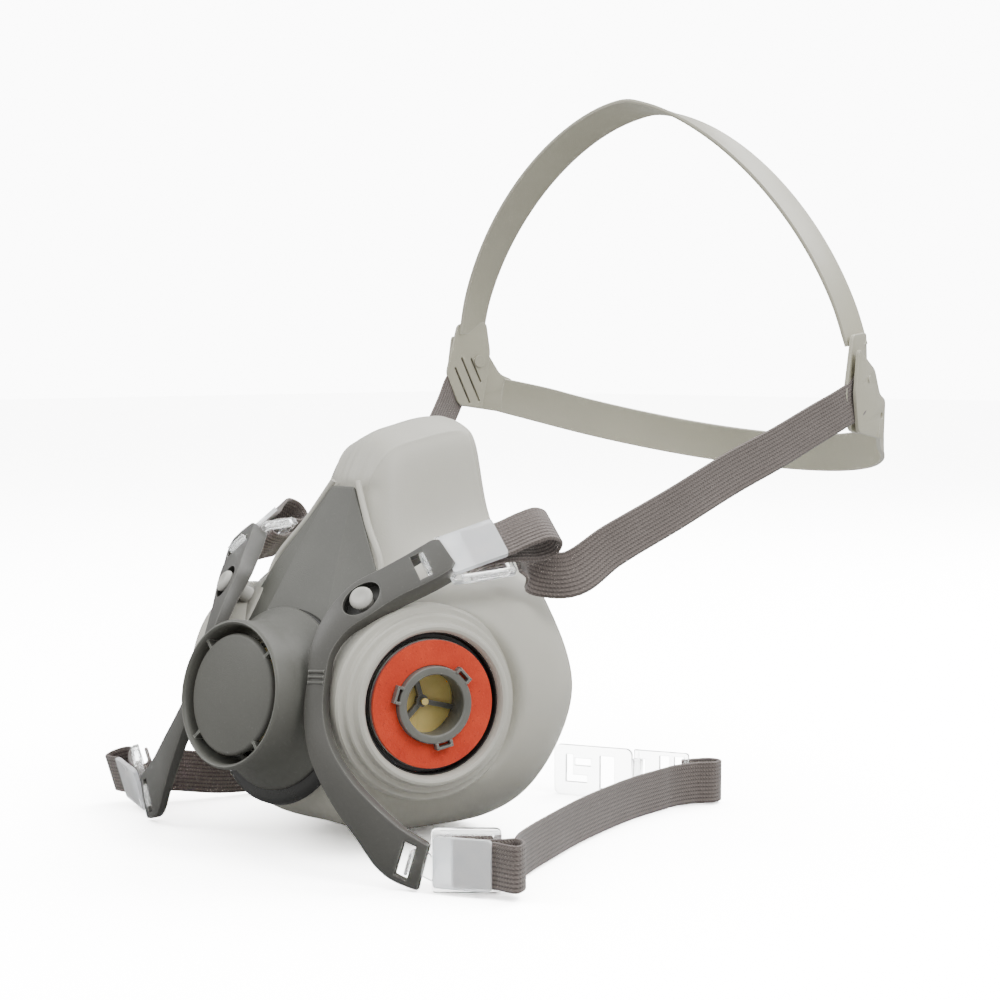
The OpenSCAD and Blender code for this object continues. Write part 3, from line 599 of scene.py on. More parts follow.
def facepieceSolid(spec):
    rings = []
    for level, half in enumerate(spec["rings"]):
        p = np.array(half, float)
        run = min(spec["cornerRun"], 0.3 * np.linalg.norm(p[1] - p[0])) if level else 1.0
        before = p[1] + unit(p[0] - p[1]) * run * 1.3
        after = p[1] + unit(p[2] - p[1]) * run
        p = np.vstack([p[:1], before, after, p[2:]])
        other = p[1:-1][::-1] * np.array((-1, 1, 1))
        rings.append(smoothRows(np.vstack([p, other]), spec["steps"] + spec["steps"][::-1], True))
    rings = np.array(rings)
    count = rings.shape[1]
    columns = [smoothRows(rings[:, j], spec["levelSteps"]) for j in range(count)]
    grid = np.array(columns).transpose(1, 0, 2)
    levels = smoothRows([[k, 0, 0] for k in range(8)], spec["levelSteps"])[:, 0]
    ahead = np.gradient(grid, axis=0)
    round_ = np.roll(grid, -1, axis=1) - np.roll(grid, 1, axis=1)
    out = np.cross(round_, ahead)
    out /= np.maximum(np.linalg.norm(out, axis=2, keepdims=True), 1e-9)
    out *= np.where((out * (grid - np.array((0, 40, 60)))).sum(axis=2).mean() > 0, 1, -1)
    where, width, sunk = spec["edgeGroove"]
    groove = -sunk * np.exp(-(((levels - where) / width) ** 2))[:, None] * np.ones(count)
    number, deep = spec["pleats"]
    x = grid[:, :, 0]
    onRidge = smoothStep(1.9, 2.3, levels) * (1 - smoothStep(3.3, 4.2, levels))
    onRidge = onRidge[:, None] * (np.abs(x) < 9) * (grid[:, :, 2] > 100)
    pleat = deep * np.cos(x / 9 * math.pi * number / 2) * onRidge * (1 - smoothStep(6.5, 9, np.abs(x)))
    corner = np.zeros(count)
    corner[[8, 9, count - 8, count - 9]] = spec["crisp"]
    corner = corner * (smoothStep(2.2, 2.8, levels) * (1 - smoothStep(5.0, 5.6, levels)))[:, None]
    grid = grid + out * (groove + pleat + corner)[:, :, None]
    wide, high = np.abs(grid[:, :, 0]), grid[:, :, 2]
    behind = smoothStep(25.5, 23.5, wide) * smoothStep(127.5, 124.5, high) * smoothStep(66, 72, high)
    behind = behind * (levels < 3)[:, None]
    depth = np.maximum(grid[:, :, 1], coverFace(wide, high) + 3.2)
    grid[:, :, 1] = grid[:, :, 1] * (1 - behind) + depth * behind
    away = np.linalg.inv(portFrame)
    for side in (1, -1):
        local = (grid * np.array((side, 1, 1))) @ away[:3, :3].T + away[:3, 3]
        radius = np.hypot(local[:, :, 0], local[:, :, 1])
        near = (radius < port["reach"]) & (np.abs(local[:, :, 2]) < port["deep"]) & (grid[:, :, 0] * side > 8)
        blend = smoothStep(port["flat"], port["blend"], radius)
        seat = np.minimum(local[:, :, 2], port["sunk"])
        local[:, :, 2] = np.where(near, seat * (1 - blend) + local[:, :, 2] * blend, local[:, :, 2])
        back = local @ portFrame[:3, :3].T + portFrame[:3, 3]
        grid = np.where(near[:, :, None], back * np.array((side, 1, 1)), grid)
    verts, faces, _ = ringSolid(grid, False)
    kept = []
    for face in faces:
        middle = verts[list(face)].mean(axis=0)
        middle[0] = abs(middle[0])
        local = away[:3, :3] @ middle + away[:3, 3]
        if not (math.hypot(local[0], local[1]) < port["hole"] and abs(local[2]) < port["deep"]):
            kept.append(face)
    used = sorted({i for face in kept for i in face})
    renamed = {old: new for new, old in enumerate(used)}
    return verts[used], [tuple(renamed[i] for i in face) for face in kept], None


shell = addObject("facepiece_body", meshFrom("facepiece_body", facepieceSolid(facepiece)))
thick = shell.modifiers.new("wall", "SOLIDIFY")
thick.thickness, thick.offset = facepiece["wall"] / 1000, -1
finer = shell.modifiers.new("finer", "SUBSURF")
finer.levels = finer.render_levels = 1
settle(shell)
shade(shell, 50)
shell.data.materials.append(looks["elastomer"])
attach(shell, "mask")
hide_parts("facepiece")

for side, name in ((1, "right"), (-1, "left")):
    addPiece(f"{name}_port_rim", flipped(moved(lathe(port["rim"]), portFrame), side), looks["elastomer"],
             angle=28)
    # dark ring set in the port's groove: painted shade
    addPiece(f"{name}_port_groove", flipped(moved(lathe(port["groove"]), portFrame), side), looks["paintedRecessShade"],
             angle=40)
print("facepiece made")


# front cover with its drum

drum = {"origin": (0, -29.8, 58), "pitch": 10.8,
        "wall": [(23.4, -20), (23.4, -1.3), (23.7, -0.4), (24.3, 0), (24.9, -0.3), (25.2, -1.1), (25.3, -8),
            (25.8, -12), (26.8, -15.2), (28.4, -18),
                 (30.2, -20.2), (31.0, -21.0), (31.4, -22.0), (31.0, -23.0), (29.4, -23.0), (26.8, -19.5)],
        "disc": [(0, -1.4), (19.4, -1.4), (20.1, -1.7), (20.5, -2.4), (20.5, -3.3), (0, -3.3)]}
drumFrame = shifted(*drum["origin"]) @ turned(90 - drum["pitch"], (1, 0, 0))


def noseSolid(spec):  # faceted wedge over the nose, a closed shell
    outer = [spec["top"], spec["corner"], spec["low"], spec["foot"], spec["chin"]]
    points = [(x, y, z) for x, y, z in outer] + [(-x, y, z) for x, y, z in outer]
    inner = [(x * 0.86, y + 3.4, z - 2.2) for x, y, z in points]
    front = [(0, 3, 8, 5), (0, 1, 3), (1, 2, 3), (3, 2, 4), (5, 8, 6), (6, 8, 7), (8, 9, 7), (3, 4, 9, 8)]
    back = [tuple(i + 10 for i in reversed(f)) for f in front]
    edge = [0, 1, 2, 4, 9, 7, 6, 5]
    sides = [(a, a + 10, b + 10, b) for a, b in zip(edge, edge[1:] + edge[:1])]
    return np.array(points + inner, float), front + back + sides, None


cover = [moved(lathe(drum["wall"]), drumFrame), moved(lathe(drum["disc"]), drumFrame)]
for a in (45, 135, 225, 315):
    cover.append(moved(block((22, 0, -4.4), (4.6, 1.0, 5.4)), drumFrame @ turned(a, (0, 0, 1))))
addPiece("front_cover_drum", joined(cover), looks["coverPlastic"], replaces=("front_cover",), angle=45)
addPiece("front_cover_nose", noseSolid(nose), looks["coverPlastic"], bevel=0.7, angle=14,
         cuts=[moved(lathe([(0, -40), (24.8, -40), (24.8, 20), (0, 20)], 64), drumFrame)])

# dark ring behind the drum's flange: painted shade in the recess
recess = [(27, -22.4), (31.6, -22.4), (33.4, -23.4), (33.8, -25.2), (32.6, -27), (27, -27)]
addPiece("front_cover_recess", moved(lathe(recess), drumFrame @ shifted(0, -2.6, 0)), looks["paintedRecessShade"],
         angle=50)

# raised frame of the facepiece beside the cover's edges
frameRows = [[28.2, 12.6, 92, 2.4], [27.4, 15.2, 98, 2.4], [15.7, 20, 113, 2.4], [6.3, 24, 127, 2.2]]


def cordSection(width, t):
    return [(math.cos(k * math.pi / 4) * width / 2, math.sin(k * math.pi / 4) * width / 2) for k in range(8)]


for side, name in ((1, "right"), (-1, "left")):
    rows = [[x, y, z, 1, 0, 0.2, width] for x, y, z, width in frameRows]
    addPiece(f"{name}_cover_frame", flipped(sweep(rows, cordSection, 8), side), looks["elastomer"],
             angle=60)
print("front cover made")


# yoke arms

arm = {
    "rows": [
        [53.0, 21.8, 105.6, 0.73, -0.24, -0.64, 11.5], [52.2, 20.8, 104.8, 0.73, -0.24, -0.64, 14.2],
        [50.1, 17.9, 102.7, 0.73, -0.24, -0.64, 15], [46, 12.9, 99.2, 0.73, -0.24, -0.64, 14.6],
        [41.5, 7, 95.5, 0.73, -0.24, -0.64, 14], [35.3, -0.5, 90, 0.76, -0.12, -0.62, 14.4],
        [30.8, -8, 82.5, 0.85, 0.1, -0.45, 10.6], [29.2, -13.2, 74, 0.93, 0.3, -0.15, 8],
        [30, -16, 65, 0.93, 0.35, 0.05, 6.8], [31.8, -19, 54, 0.9, 0.36, 0.16, 7.4],
        [36.6, -20.7, 43, 0.8, 0.3, 0.4, 8.8], [44.8, -19.9, 31.6, 0.66, 0.2, 0.66, 10.8],
        [55.6, -16.4, 20, 0.47, 0.1, 0.86, 14], [64.5, -13.1, 11.8, 0.36, 0.05, 0.93, 17.6],
        [71.4, -10.4, 8.9, 0.33, 0.04, 0.94, 16.6], [73.2, -9.7, 8.3, 0.33, 0.04, 0.94, 16]],
    "thick": 2.3, "deepTop": 6.5, "deepMiddle": 4.2, "deepEnd": 3.0, "lip": 1.5,
    "stud": (35.3, -0.5, 90), "studAxis": unit((0.31, -0.78, 0.54)),
    "topBar": (50.1, 17.6, 102.2), "topBarAxis": unit((0.73, -0.24, -0.64)), "topOut": (0.55, 0.67, 0.45),
    "lowBar": (71, -10.6, 8.9), "lowBarAxis": unit((0.33, 0.04, 0.94)), "lowOut": (0.94, 0.35, -0.33),
}


def armSection(width, t):  # channel, open towards the mask
    top, end = 1 - smoothStep(0.25, 0.45, t), smoothStep(0.6, 0.9, t)
    middle = arm["deepMiddle"]
    deep = middle + (arm["deepTop"] - middle) * top + (arm["deepEnd"] - middle) * end
    deep = min(deep, 2.4 + 60 * max(0, t - 0.02), 2.4 + 40 * max(0, 0.985 - t))
    w, o, c, lip = width / 2, 1.3, 0.7, arm["lip"]
    inner = o - arm["thick"]
    return [(-w + c, o), (0, o + 0.25), (w - c, o), (w - 0.15, o - 0.25), (w, o - c), (w, o - deep),
            (w - lip, o - deep), (w - lip - 0.2, inner),
            (-w + lip + 0.2, inner), (-w + lip, o - deep), (-w, o - deep), (-w, o - c), (-w + 0.15, o - 0.25)]


studUp = squareTo((0, 0, 1), arm["studAxis"])
studFrame = stand(arm["stud"], studUp, np.cross(arm["studAxis"], studUp))
armAlong = squareTo((-0.5, -0.75, -0.7), arm["studAxis"])
holeFrame = stand(arm["stud"], armAlong, np.cross(arm["studAxis"], armAlong))
topFrame = stand(arm["topBar"], squareTo(arm["topOut"], arm["topBarAxis"]), arm["topBarAxis"])
lowFrame = stand(arm["lowBar"], squareTo(arm["lowOut"], arm["lowBarAxis"]), arm["lowBarAxis"])
studProfile = [(0, -9), (3.0, -9), (3.0, -0.6), (3.1, 0.4), (3.9, 1.0), (4.1, 1.8), (3.7, 2.6), (2.9, 3.1),
               (2.2, 3.15), (1.2, 2.85), (0, 2.75)]
oval = np.diag((1.36, 0.96, 1, 1))   # the hole round the stud is longer along the arm
ovalHole = moved(lathe([(0, -12), (5.3, -12), (5.3, 12), (0, 12)], 48), oval)
ovalPocket = moved(lathe([(5.2, 1.2), (5.3, 0.2), (5.3, -2.7), (2.1, -2.8), (2.1, -3.8), (6.1, -3.8),
    (6.2, 0.6)], 48), oval)
for side, name in ((1, "right"), (-1, "left")):
    cuts = [flipped(moved(ovalHole, holeFrame), side),
            flipped(moved(block((-3.9, 0, 0), (4.6, 10.6, 16)), topFrame), side),
            flipped(moved(block((-3.9, 0, 0), (4.8, 12.4, 16)), lowFrame), side)]
    addPiece(f"{name}_arm_shell", flipped(sweep(arm["rows"], armSection, 6), side), looks["armPlastic"],
             replaces=(f"{name}_yoke_arm",), cuts=cuts, bevel=0.3)
    addPiece(f"{name}_arm_pocket", flipped(moved(ovalPocket, holeFrame), side), looks["nutPlastic"],
             angle=50)
    ribs = []
    for k in range(3):
        spot = np.array((30.3 + 0.2 * k, -16.7 - 0.4 * k, 67.4 - 1.8 * k))
        ribs.append(sweep([[*(spot + unit((0.93, 0.35, 0.05)) * s), 0, 0, 1, 1.25] for s in (-2.9, 0, 2.9)],
            cordSection, 3))
    addPiece(f"{name}_arm_ribs", flipped(joined(ribs), side), looks["armPlastic"], angle=60)
    addPiece(f"{name}_stud", flipped(moved(lathe(studProfile, 48), studFrame), side), looks["studRubber"],
             replaces=("retaining_studs",) if side > 0 else (),
             angle=60)
print("yoke arms made")


# filter ports

connector = {"lugs": (42, 162, 282), "arms": (105, 225, 345)}
tubeProfile = [(10.2, -6.5), (10.2, 2.1), (10.5, 2.5), (12.7, 2.5), (13, 2.2), (13, -2.1), (21.6, -2.1),
               (21.8, -2.3), (21.8, -3.6), (13, -3.6), (13, -12),
               (11.7, -12), (11.7, -6.5)]


def connectorSolid(spec):
    solids = [lathe(tubeProfile)]
    for a in spec["lugs"]:  # a hollow lug: its outer wall and two cheeks
        turn = turned(a, (0, 0, 1))
        solids.append(moved(block((14.5, 0, 1.6), (0.8, 6.0, 2.9)), turn))
        for y in (2.55, -2.55):
            solids.append(moved(block((13.7, y, 1.6), (2.2, 0.9, 2.9)), turn))
    for a in spec["arms"]:
        solids.append(moved(block((6.2, 0, -10.7), (12.2, 1.7, 2.0)), turned(a, (0, 0, 1))))
    solids.append(lathe([(0.75, -11.9), (2.1, -11.9), (2.1, -9.6), (0.75, -9.6)], 24))
    return joined(solids)


for side, name in ((1, "right"), (-1, "left")):
    addPiece(f"{name}_port_connector", flipped(moved(connectorSolid(connector), portFrame), side),
             looks["portPlastic"], replaces=(f"{name}_connector",), bevel=0.18)
print("ports made")


# plates with holes

def plateSolid(outline, holes, thick, bevel, place):
    curve = bpy.data.curves.new("plate", "CURVE")
    curve.dimensions, curve.fill_mode = "2D", "BOTH"
    curve.extrude, curve.bevel_depth, curve.bevel_resolution = thick / 2 - bevel, bevel, 2
    curve.offset = -bevel
    for ring in [outline] + holes:
        spline = curve.splines.new("POLY")
        spline.points.add(len(ring) - 1)
        for point, (x, y) in zip(spline.points, ring):
            point.co = (x, y, 0, 1)
        spline.use_cyclic_u = True
    helper = addObject("plate", curve)
    graph = bpy.context.evaluated_depsgraph_get()
    mesh = bpy.data.meshes.new_from_object(helper.evaluated_get(graph))
    welded = bmesh.new()
    welded.from_mesh(mesh)
    bmesh.ops.remove_doubles(welded, verts=welded.verts, dist=1e-4)
    verts = np.array([tuple(v.co) for v in welded.verts])
    faces = [tuple(v.index for v in f.verts) for f in welded.faces]
    welded.free()
    bpy.data.objects.remove(helper)
    bpy.data.curves.remove(curve)
    bpy.data.meshes.remove(mesh)
    return moved((verts, faces, None), place)


def roundHole(x, y, r, count=20):
    return [(x + r * math.cos(k * 2 * math.pi / count), y + r * math.sin(k * 2 * math.pi / count))
            for k in range(count)]


def slitHole(x, y, length, tilt, width=0.9):
    a = math.radians(tilt)
    ahead, across = np.array((-math.sin(a), math.cos(a))), np.array((math.cos(a), math.sin(a))) * width / 2
    start = np.array((x, y))
    corners = (start - across, start + across, start + across + ahead * length, start - across + ahead * length)
    return [tuple(p) for p in corners]


def roundedOutline(points, run=2.2, steps=5):
    out, n = [], len(points)
    for i in range(n):
        a, b, c = (np.array(points[(i + k) % n], float) for k in (-1, 0, 1))
        r = min(run, 0.4 * np.linalg.norm(a - b), 0.4 * np.linalg.norm(c - b))
        first, last = b + unit(a - b) * r, b + unit(c - b) * r
        out += [tuple((1 - t) ** 2 * first + 2 * t * (1 - t) * b + t * t * last)
                for t in np.linspace(0, 1, steps)]
    return out


# elastic straps and their loops in the buckles

buckle = {"reach": 27, "webWidth": 16, "webThick": 1.5, "leftSwing": 7}
topBarAxis, lowBarAxis = arm["topBarAxis"], arm["lowBarAxis"]
mirror = np.array((-1, 1, 1))
topEx = squareTo((0.385, 0.917, 0.096), topBarAxis)
swing = math.radians(buckle["leftSwing"])
leftTopEx = (topEx * math.cos(swing) - np.cross(topEx, -topBarAxis) * math.sin(swing)) * mirror
leftLowEx = unit((-0.83, 0.52, 0.17))
seats = {
    ("right", "upper"): (np.array(arm["topBar"]), topEx, -topBarAxis, 0.0, 3.6),
    ("left", "upper"): (np.array(arm["topBar"]) * mirror, leftTopEx, topBarAxis * mirror, 0.0, 3.6),
    ("right", "lower"): (np.array(arm["lowBar"]), unit((0.74, 0.67, 0.0)), np.array((0, 0, 1.0)), 1.6, 4.6),
    ("left", "lower"): (np.array(arm["lowBar"]) * mirror, leftLowEx, squareTo((0.05, 0.28, -0.95), leftLowEx),
        -0.5, 5.2)}


def seatFrame(seat):
    origin, ex, ey, shift, start = seat
    return stand(origin + ey * shift, ex, ey)


def ribbedSection(width, t):  # eleven lengthwise ribs on both faces
    thick, ribs, perRib = buckle["webThick"] - 0.1, 11, 4
    w = width / 2
    across = np.linspace(-w + 0.35, w - 0.35, ribs * perRib + 1)
    lift = thick / 2 - 0.17 + 0.17 * np.abs(np.sin(np.arange(ribs * perRib + 1) * math.pi / perRib)) ** 0.7
    upper = list(zip(across, lift))
    return upper[::-1] + [(-w, 0)] + [(a, -l) for a, l in upper] + [(w, 0)]


hookPath = [(6.2, 0.2), (4.4, -0.7), (2.6, -1.9), (1.0, -2.5), (-1.0, -2.5), (-2.5, -1.5), (-2.9, 0.2),
            (-2.7, 1.3)]


def hookSection(width, t):
    return [(-width / 2, -0.55), (width / 2, -0.55), (width / 2, 0.55), (-width / 2, 0.55)]


def frameSolid(name, level):  # buckle frame with the hook that turns on the arm's bar
    seat = seats[(name, level)]
    start, reach, wide = seat[4], buckle["reach"], 21
    length, middle = reach - start, (reach + start) / 2
    corners = ((-1, -1), (1, -1), (1, 1), (-1, 1))
    outline = roundedOutline([(middle + x * length / 2, y * wide / 2) for x, y in corners], 2.0, 6)
    window = roundedOutline([(middle + 1 + x * (length / 2 - 3.4), y * 8.1) for x, y in corners], 0.8, 4)
    parts = [plateSolid(outline, [window], 2.4, 0.35, seatFrame(seat))]
    for sy in (-1, 1):  # raised side rails
        parts.append(moved(block((middle + 1, sy * 9.3, 1.5), (length - 4, 1.1, 0.8)), seatFrame(seat)))
    origin, ex, ey = seat[0], seat[1], seat[2]
    bar = topBarAxis if level == "upper" else lowBarAxis
    bar = bar * (mirror if name == "left" else 1)
    ahead = squareTo(ex, bar)
    up = np.cross(bar, ahead)
    if up @ np.cross(ex, ey) < 0:
        up = -up
    rows = [[*(origin + ahead * x + up * z), *bar, 8] for x, z in hookPath]
    parts.append(sweep(rows, hookSection, 4))
    return joined(parts)


loopPath = [(12, 3.9), (18, 5.4), (25, 7), (32, 10.2), (38, 11.6), (42.6, 8.6), (42, 3.6), (37, 1.6),
            (30, 2.6), (24, 3.2), (17, 2.9), (12.6, 1), (11.6, -2), (14.6, -3.6), (20, -3.6), (27, -3.4)]
for (name, level), seat in seats.items():
    scale = 1 if level == "upper" else 0.67
    rows = []
    place = seatFrame(seat)
    for x, z in loopPath:
        x = 27 + (x - 27) * scale * scale if x > 27 else x
        spot = place[:3, :3] @ np.array((x, 0, z)) + place[:3, 3]
        rows.append([*spot, *place[:3, 1], buckle["webWidth"] - 0.6])
    addPiece(f"{name}_{level}_web_loop", sweep(rows, ribbedSection, 7), looks["elasticWeb"],
             body=f"{name}_{level}_tensioner", replaces=(f"{name}_{level}_loop",), angle=80)

cradleLean = {"point": np.array((0, 197, 167.0)), "angle": math.radians(1.75)}


def lean(p):
    c, s = math.cos(cradleLean["angle"]), math.sin(cradleLean["angle"])
    d = np.asarray(p, float) - cradleLean["point"]
    return cradleLean["point"] + np.array((d[0] * c + d[2] * s, d[1], d[2] * c - d[0] * s))


upperStrap = {
    "start": [[31.6, 0, -4.4, 0, 1, 0], [36.5, -2, -8.6, -0.35, 1, 0.3]],
    "route": [[71.5, 61, 96.2, -0.4, -0.2, 0.85], [77, 78.5, 105.4, -0.15, -0.42, 0.88],
              [84, 104.7, 117.3, -0.1, -0.45, 0.87],
              [90, 131, 129.5, -0.1, -0.45, 0.87], [95.5, 150, 138, -0.06, -0.45, 0.87],
              [100.5, 168, 147, -0.03, -0.48, 0.86],
              [104, 180, 153.2, 0, -0.5, 0.86], [104.9, 187, 157, 0, -0.55, 0.83],
              [103, 194.5, 161, 0, -0.55, 0.83]],
    "leftSlack": [5, 8, 11, 13, 14, 12, 7, 2, 0]}


def upperStrapRows(name, side):
    place = seatFrame(seats[(name, "upper")])
    rows = []
    for x, y, z, ax, ay, az in upperStrap["start"]:
        spot = place[:3, :3] @ np.array((x, side * y, z)) + place[:3, 3]
        rows.append([*spot, *(side * (place[:3, :3] @ np.array((ax * side, ay, az * side)))),
            buckle["webWidth"]])
    last = len(upperStrap["route"]) - 1
    for i, row in enumerate(upperStrap["route"]):
        p, t = np.array(row[:3]) * np.array((side, 1, 1)), (i / last) ** 2
        spot = p * (1 - t) + lean(p) * t - np.array((0, 0, upperStrap["leftSlack"][i] if side < 0 else 0))
        rows.append([*spot, side * row[3], row[4], row[5], buckle["webWidth"]])
    return rows


lowerStrap = {
    "height": 8.6,
    "right": [[93.5, 11.5, 9.6], [89, 18, 9.2], [82.5, 31, 8.6], [76.5, 48, 8.6], [70, 68, 8.6],
              [64.5, 90, 8.6], [60.5, 112, 8.6], [59.3, 130, 8.6]],
    "left": [[-92, 11, 12.4], [-88.5, 18, 11.4], [-82, 31, 9.4], [-76.5, 48, 8.6], [-70, 68, 8.6],
             [-64.5, 90, 8.6], [-60.5, 112, 8.6], [-59.3, 130, 8.6]],
    "tail": [(59, 134.5), (59.3, 138.5), (60, 142), (62, 147.5), (66, 153), (65, 157.6), (60.8, 157.4),
             (57.2, 152.6), (54.5, 147.5)]}


def lowerStrapRows(name, side):
    width, height = buckle["webWidth"], lowerStrap["height"]
    rows = [[*p, 0, 0.1 if side < 0 and i < 2 else 0, 1, width] for i, p in enumerate(lowerStrap[name])]
    return rows + [[side * x, y, height, 0, 0, 1, width] for x, y in lowerStrap["tail"]]


for side, name in ((1, "right"), (-1, "left")):
    for level, rows in (("upper", upperStrapRows(name, side)), ("lower", lowerStrapRows(name, side))):
        label = f"{name}_{level}_web"
        thing = addObject(label, meshFrom(label, sweep(rows, ribbedSection, 8)))
        shade(thing, 80)
        thing.data.materials.append(looks["elasticWeb"])
        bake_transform(thing)
        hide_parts(f"{name}_{level}_strap")
    for level in ("upper", "lower"):
        addPiece(f"{name}_{level}_buckle_frame", frameSolid(name, level), looks["clearPlastic"],
                 body=f"{name}_{level}_tensioner", replaces=(f"{name}_{level}_buckle",))
print("straps made")


# head cradle

cradle = {"radius": 103, "power": 1.65, "z": 167, "y": 193.7, "rise": -6, "dip": 0.36, "twist": 0.7,
          "sway": -4, "high": 105, "crownWidth": 14.5, "thick": 1.4,
          "plateY": 190, "plateTurn": 14, "napeRadius": 101, "napeBack": 112, "napeY": 175, "napeDrop": 32,
          "napeZ": 160.5, "napeSway": 6,
          "napeWidth": 16.5, "napeFrom": 28}


def bandSection(width, t):  # flat band with slightly raised, rounded edges
    w, h = width / 2, cradle["thick"] / 2
    return [(-w, 0.3), (-w + 0.35, h + 0.1), (-w + 1.1, h + 0.1), (-w + 1.9, h - 0.1), (w - 1.9, h - 0.1),
            (w - 1.1, h + 0.1), (w - 0.35, h + 0.1), (w, 0.3),
            (w, -0.3), (w - 0.35, -h - 0.1), (w - 1.1, -h - 0.1), (w - 1.9, -h + 0.1), (-w + 1.9, -h + 0.1),
            (-w + 1.1, -h - 0.1), (-w + 0.35, -h - 0.1), (-w, -0.3)]


def crownRow(angle):
    a = math.radians(angle)
    c, s, k = math.cos(a), math.sin(a), 2 / cradle["power"]
    x = cradle["radius"] * math.copysign(abs(c) ** k, c)
    z = cradle["z"] + cradle["high"] * abs(s) ** k
    spot = lean((x + cradle["sway"] * s, cradle["y"] + cradle["rise"] * s, z))
    return [*spot, *unit((cradle["twist"] * s * s, 1, -cradle["dip"] * s)), cradle["crownWidth"]]


def napeRow(angle):
    a = math.radians(angle)
    c, s = math.cos(a), math.sin(a)
    x = cradle["napeRadius"] * c + cradle["napeSway"] * s * s
    spot = lean((x, cradle["napeY"] + cradle["napeBack"] * s, cradle["napeZ"] - cradle["napeDrop"] * s))
    return [*spot, 0.05 * c, -0.16 * s, 1, cradle["napeWidth"]]


def plateFrame(side, offset):  # stands a side plate's outline, y back and z up, at the temple
    c, s = math.cos(cradleLean["angle"]), math.sin(cradleLean["angle"])
    leaned = np.eye(4)
    leaned[:3, :3] = ((c, 0, s), (0, 1, 0), (-s, 0, c))
    leaned = shifted(*cradleLean["point"]) @ leaned @ shifted(*-cradleLean["point"])
    flip = np.diag((side, 1, 1, 1.0))
    return leaned @ shifted(side * (cradle["radius"] - 0.6), cradle["plateY"], 0) @ turned(side
        * cradle["plateTurn"], (0, 0, 1)) @ flip @ shifted(offset, 0, 0)


# outline x to back, outline y to up
upright = np.array(((0, 0, 1, 0), (1, 0, 0, 0), (0, 1, 0, 0), (0, 0, 0, 1.0)))
crownOutline = roundedOutline([(-5, 182), (10, 183), (12.5, 169.5), (10.8, 157), (8.5, 144), (-3.8, 146),
    (-10.4, 160)])
crownHoles = [slitHole(2.1, 146.6, 18, 27), slitHole(7.2, 147.4, 22, 27), slitHole(7.7, 156, 12, 27),
              roundHole(6.4, 165.5, 1.3)]
napeOutline = roundedOutline([(-8, 160), (-6, 177), (13, 169), (20, 159.5), (27, 157), (27, 141.5),
    (-3, 145.5)])
napeHoles = [roundHole(6.4, 165.5, 1.3), roundHole(23, 151, 1.3)]
napeOffset = cradle["thick"] + buckle["webThick"] + 0.1
crownParts = [sweep([crownRow(a) for a in range(9, 172, 9)], bandSection, 6)]
napeAngles = np.linspace(cradle["napeFrom"], 180 - cradle["napeFrom"], 17)


def plateRow(side, y, z):
    spot = plateFrame(side, napeOffset) @ np.array((0, y, z, 1))
    return [*spot[:3], 0, 0, 1, cradle["napeWidth"] - 1]


napeParts = [sweep([plateRow(1, 21, 150)] + [napeRow(a) for a in napeAngles] + [plateRow(-1, 21, 150)],
    bandSection, 6)]
for side in (1, -1):
    crownParts.append(plateSolid(crownOutline, crownHoles, cradle["thick"], 0.25, plateFrame(side, 0)
        @ upright))
    napeParts.append(plateSolid(napeOutline, napeHoles, cradle["thick"], 0.25, plateFrame(side, napeOffset)
        @ upright))
addPiece("crown_band_shell", joined(crownParts), looks["cradlePlastic"], replaces=("crown_band",), angle=40)
addPiece("nape_band_shell", joined(napeParts), looks["cradlePlastic"], replaces=("nape_band",), angle=40)
print("cradle made")


# hard pieces that keep their own shape

kept = {"exhalation_seat": "portPlastic", "exhalation_valve": "membrane", "left_inhalation_valve": "membrane",
        "right_inhalation_valve": "membrane",
        "left_gasket": "gasketFelt", "right_gasket": "gasketFelt", "left_port_nut": "nutPlastic",
        "right_port_nut": "nutPlastic",
        "left_cradle_peg": "cradlePlastic", "right_cradle_peg": "cradlePlastic",
        "left_neck_slider": "clearPlastic", "right_neck_slider": "clearPlastic",
        "neck_eye": "clearPlastic", "neck_hook": "clearPlastic"}
for name in ("left", "right"):
    for level in ("upper", "lower"):
        kept[f"{name}_{level}_tongue"] = "milkyPlastic"
for node, look in kept.items():
    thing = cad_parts[node]
    for slot in thing.material_slots:
        slot.material = looks[look]
    weld = thing.modifiers.new("weld", "WELD")
    weld.merge_threshold = 0.00001
    soften(thing, 0.35 if look in ("clearPlastic", "milkyPlastic") else 0.25, 2, 35)
print("kept pieces finished")


# floor and light

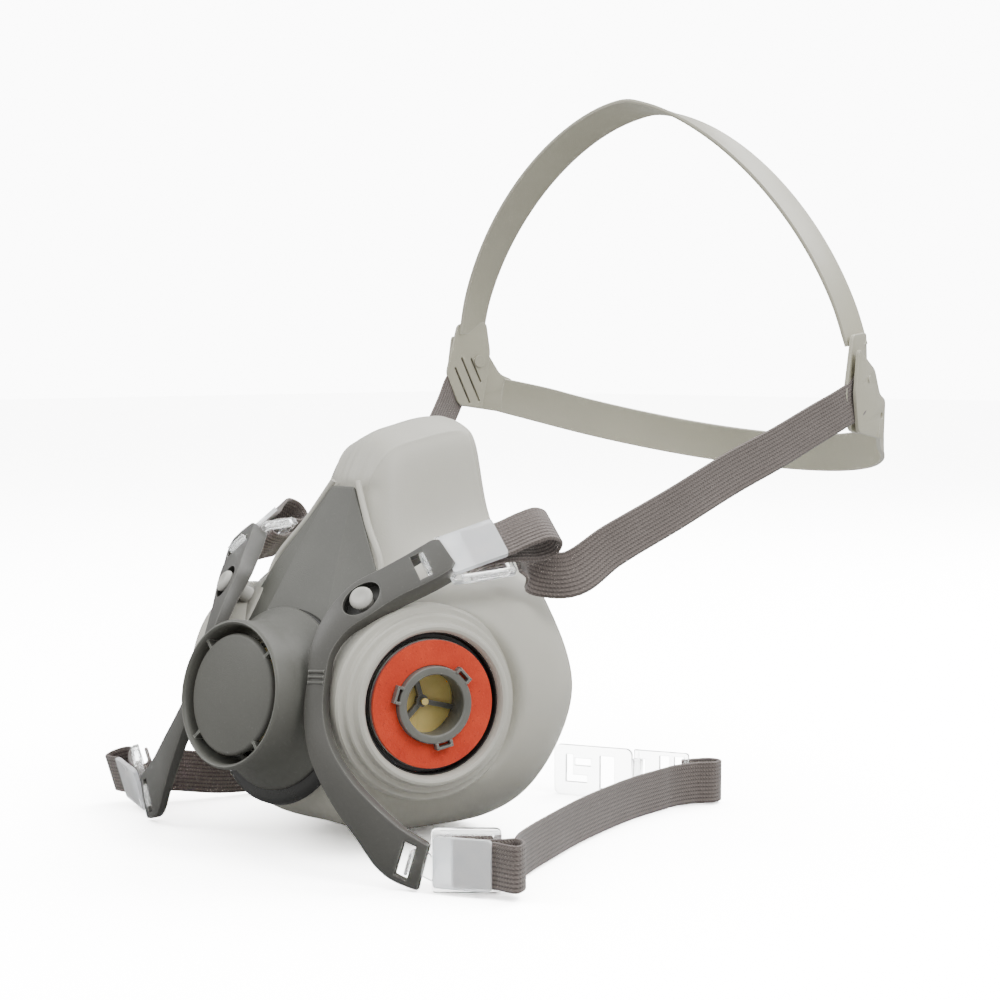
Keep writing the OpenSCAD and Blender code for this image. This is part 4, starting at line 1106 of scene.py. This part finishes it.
def seenRays(tree):  # rays that reach the eye straight or through clear plastic
    path = tree.nodes.new("ShaderNodeLightPath")
    return mathNode(tree, "MAXIMUM", path.outputs["Is Camera Ray"], path.outputs["Is Transmission Ray"])


def layFloor(setup):
    mesh = bpy.data.meshes.new("studioFloor")
    mesh.from_pydata([(-6, -6, 0), (6, -6, 0), (6, 6, 0), (-6, 6, 0)], [], [(0, 1, 2, 3)])
    floor = addObject("studioFloor", mesh)
    floor.location.z = cadBox[0][2] - 0.0002   # just under the part
    material, tree, shader = newFinish("floorPaper")
    where = tree.nodes.new("ShaderNodeTexCoord").outputs["Object"]
    bright = tuple(c * setup["floorSeen"] for c in setup["floorTone"])
    paper = mixColour(tree, noiseNode(tree, where, 3), bright + (1,), tuple(c * 0.99 for c in bright) + (1,))
    tree.links.new(mixColour(tree, seenRays(tree), setup["floorBounce"] + (1,), paper),
        shader.inputs["Base Color"])
    shader.inputs["Roughness"].default_value = 0.9
    mesh.materials.append(material)


def hangLamps(setup):
    for k, (spot, size, power) in enumerate(setup["lamps"]):
        lamp = bpy.data.lights.new(f"softbox{k}", "AREA")
        lamp.shape, lamp.size, lamp.energy = "DISK", size, power
        thing = addObject(f"softbox{k}", lamp)
        thing.location = spot
        thing.rotation_euler = (Vector((0, 0, 0.1)) - Vector(spot)).to_track_quat("-Z", "Y").to_euler()
    world = bpy.data.worlds.new("studioSky")
    world.use_nodes = True
    world.node_tree.nodes["Background"].inputs[0].default_value = setup["skyTone"] + (1,)
    tree = world.node_tree
    split = tree.nodes.new("ShaderNodeSeparateXYZ")
    tree.links.new(tree.nodes.new("ShaderNodeTexCoord").outputs["Generated"], split.inputs[0])
    glow = rangeNode(tree, split.outputs[2], -0.1, 0.9, setup["skyLow"], setup["skyHigh"])
    tree.links.new(rangeNode(tree, seenRays(tree), 0, 1, glow, setup["skySeen"]),
        tree.nodes["Background"].inputs[1])
    bpy.context.scene.world = world


layFloor(studio)
hangLamps(studio)
print("studio ready")
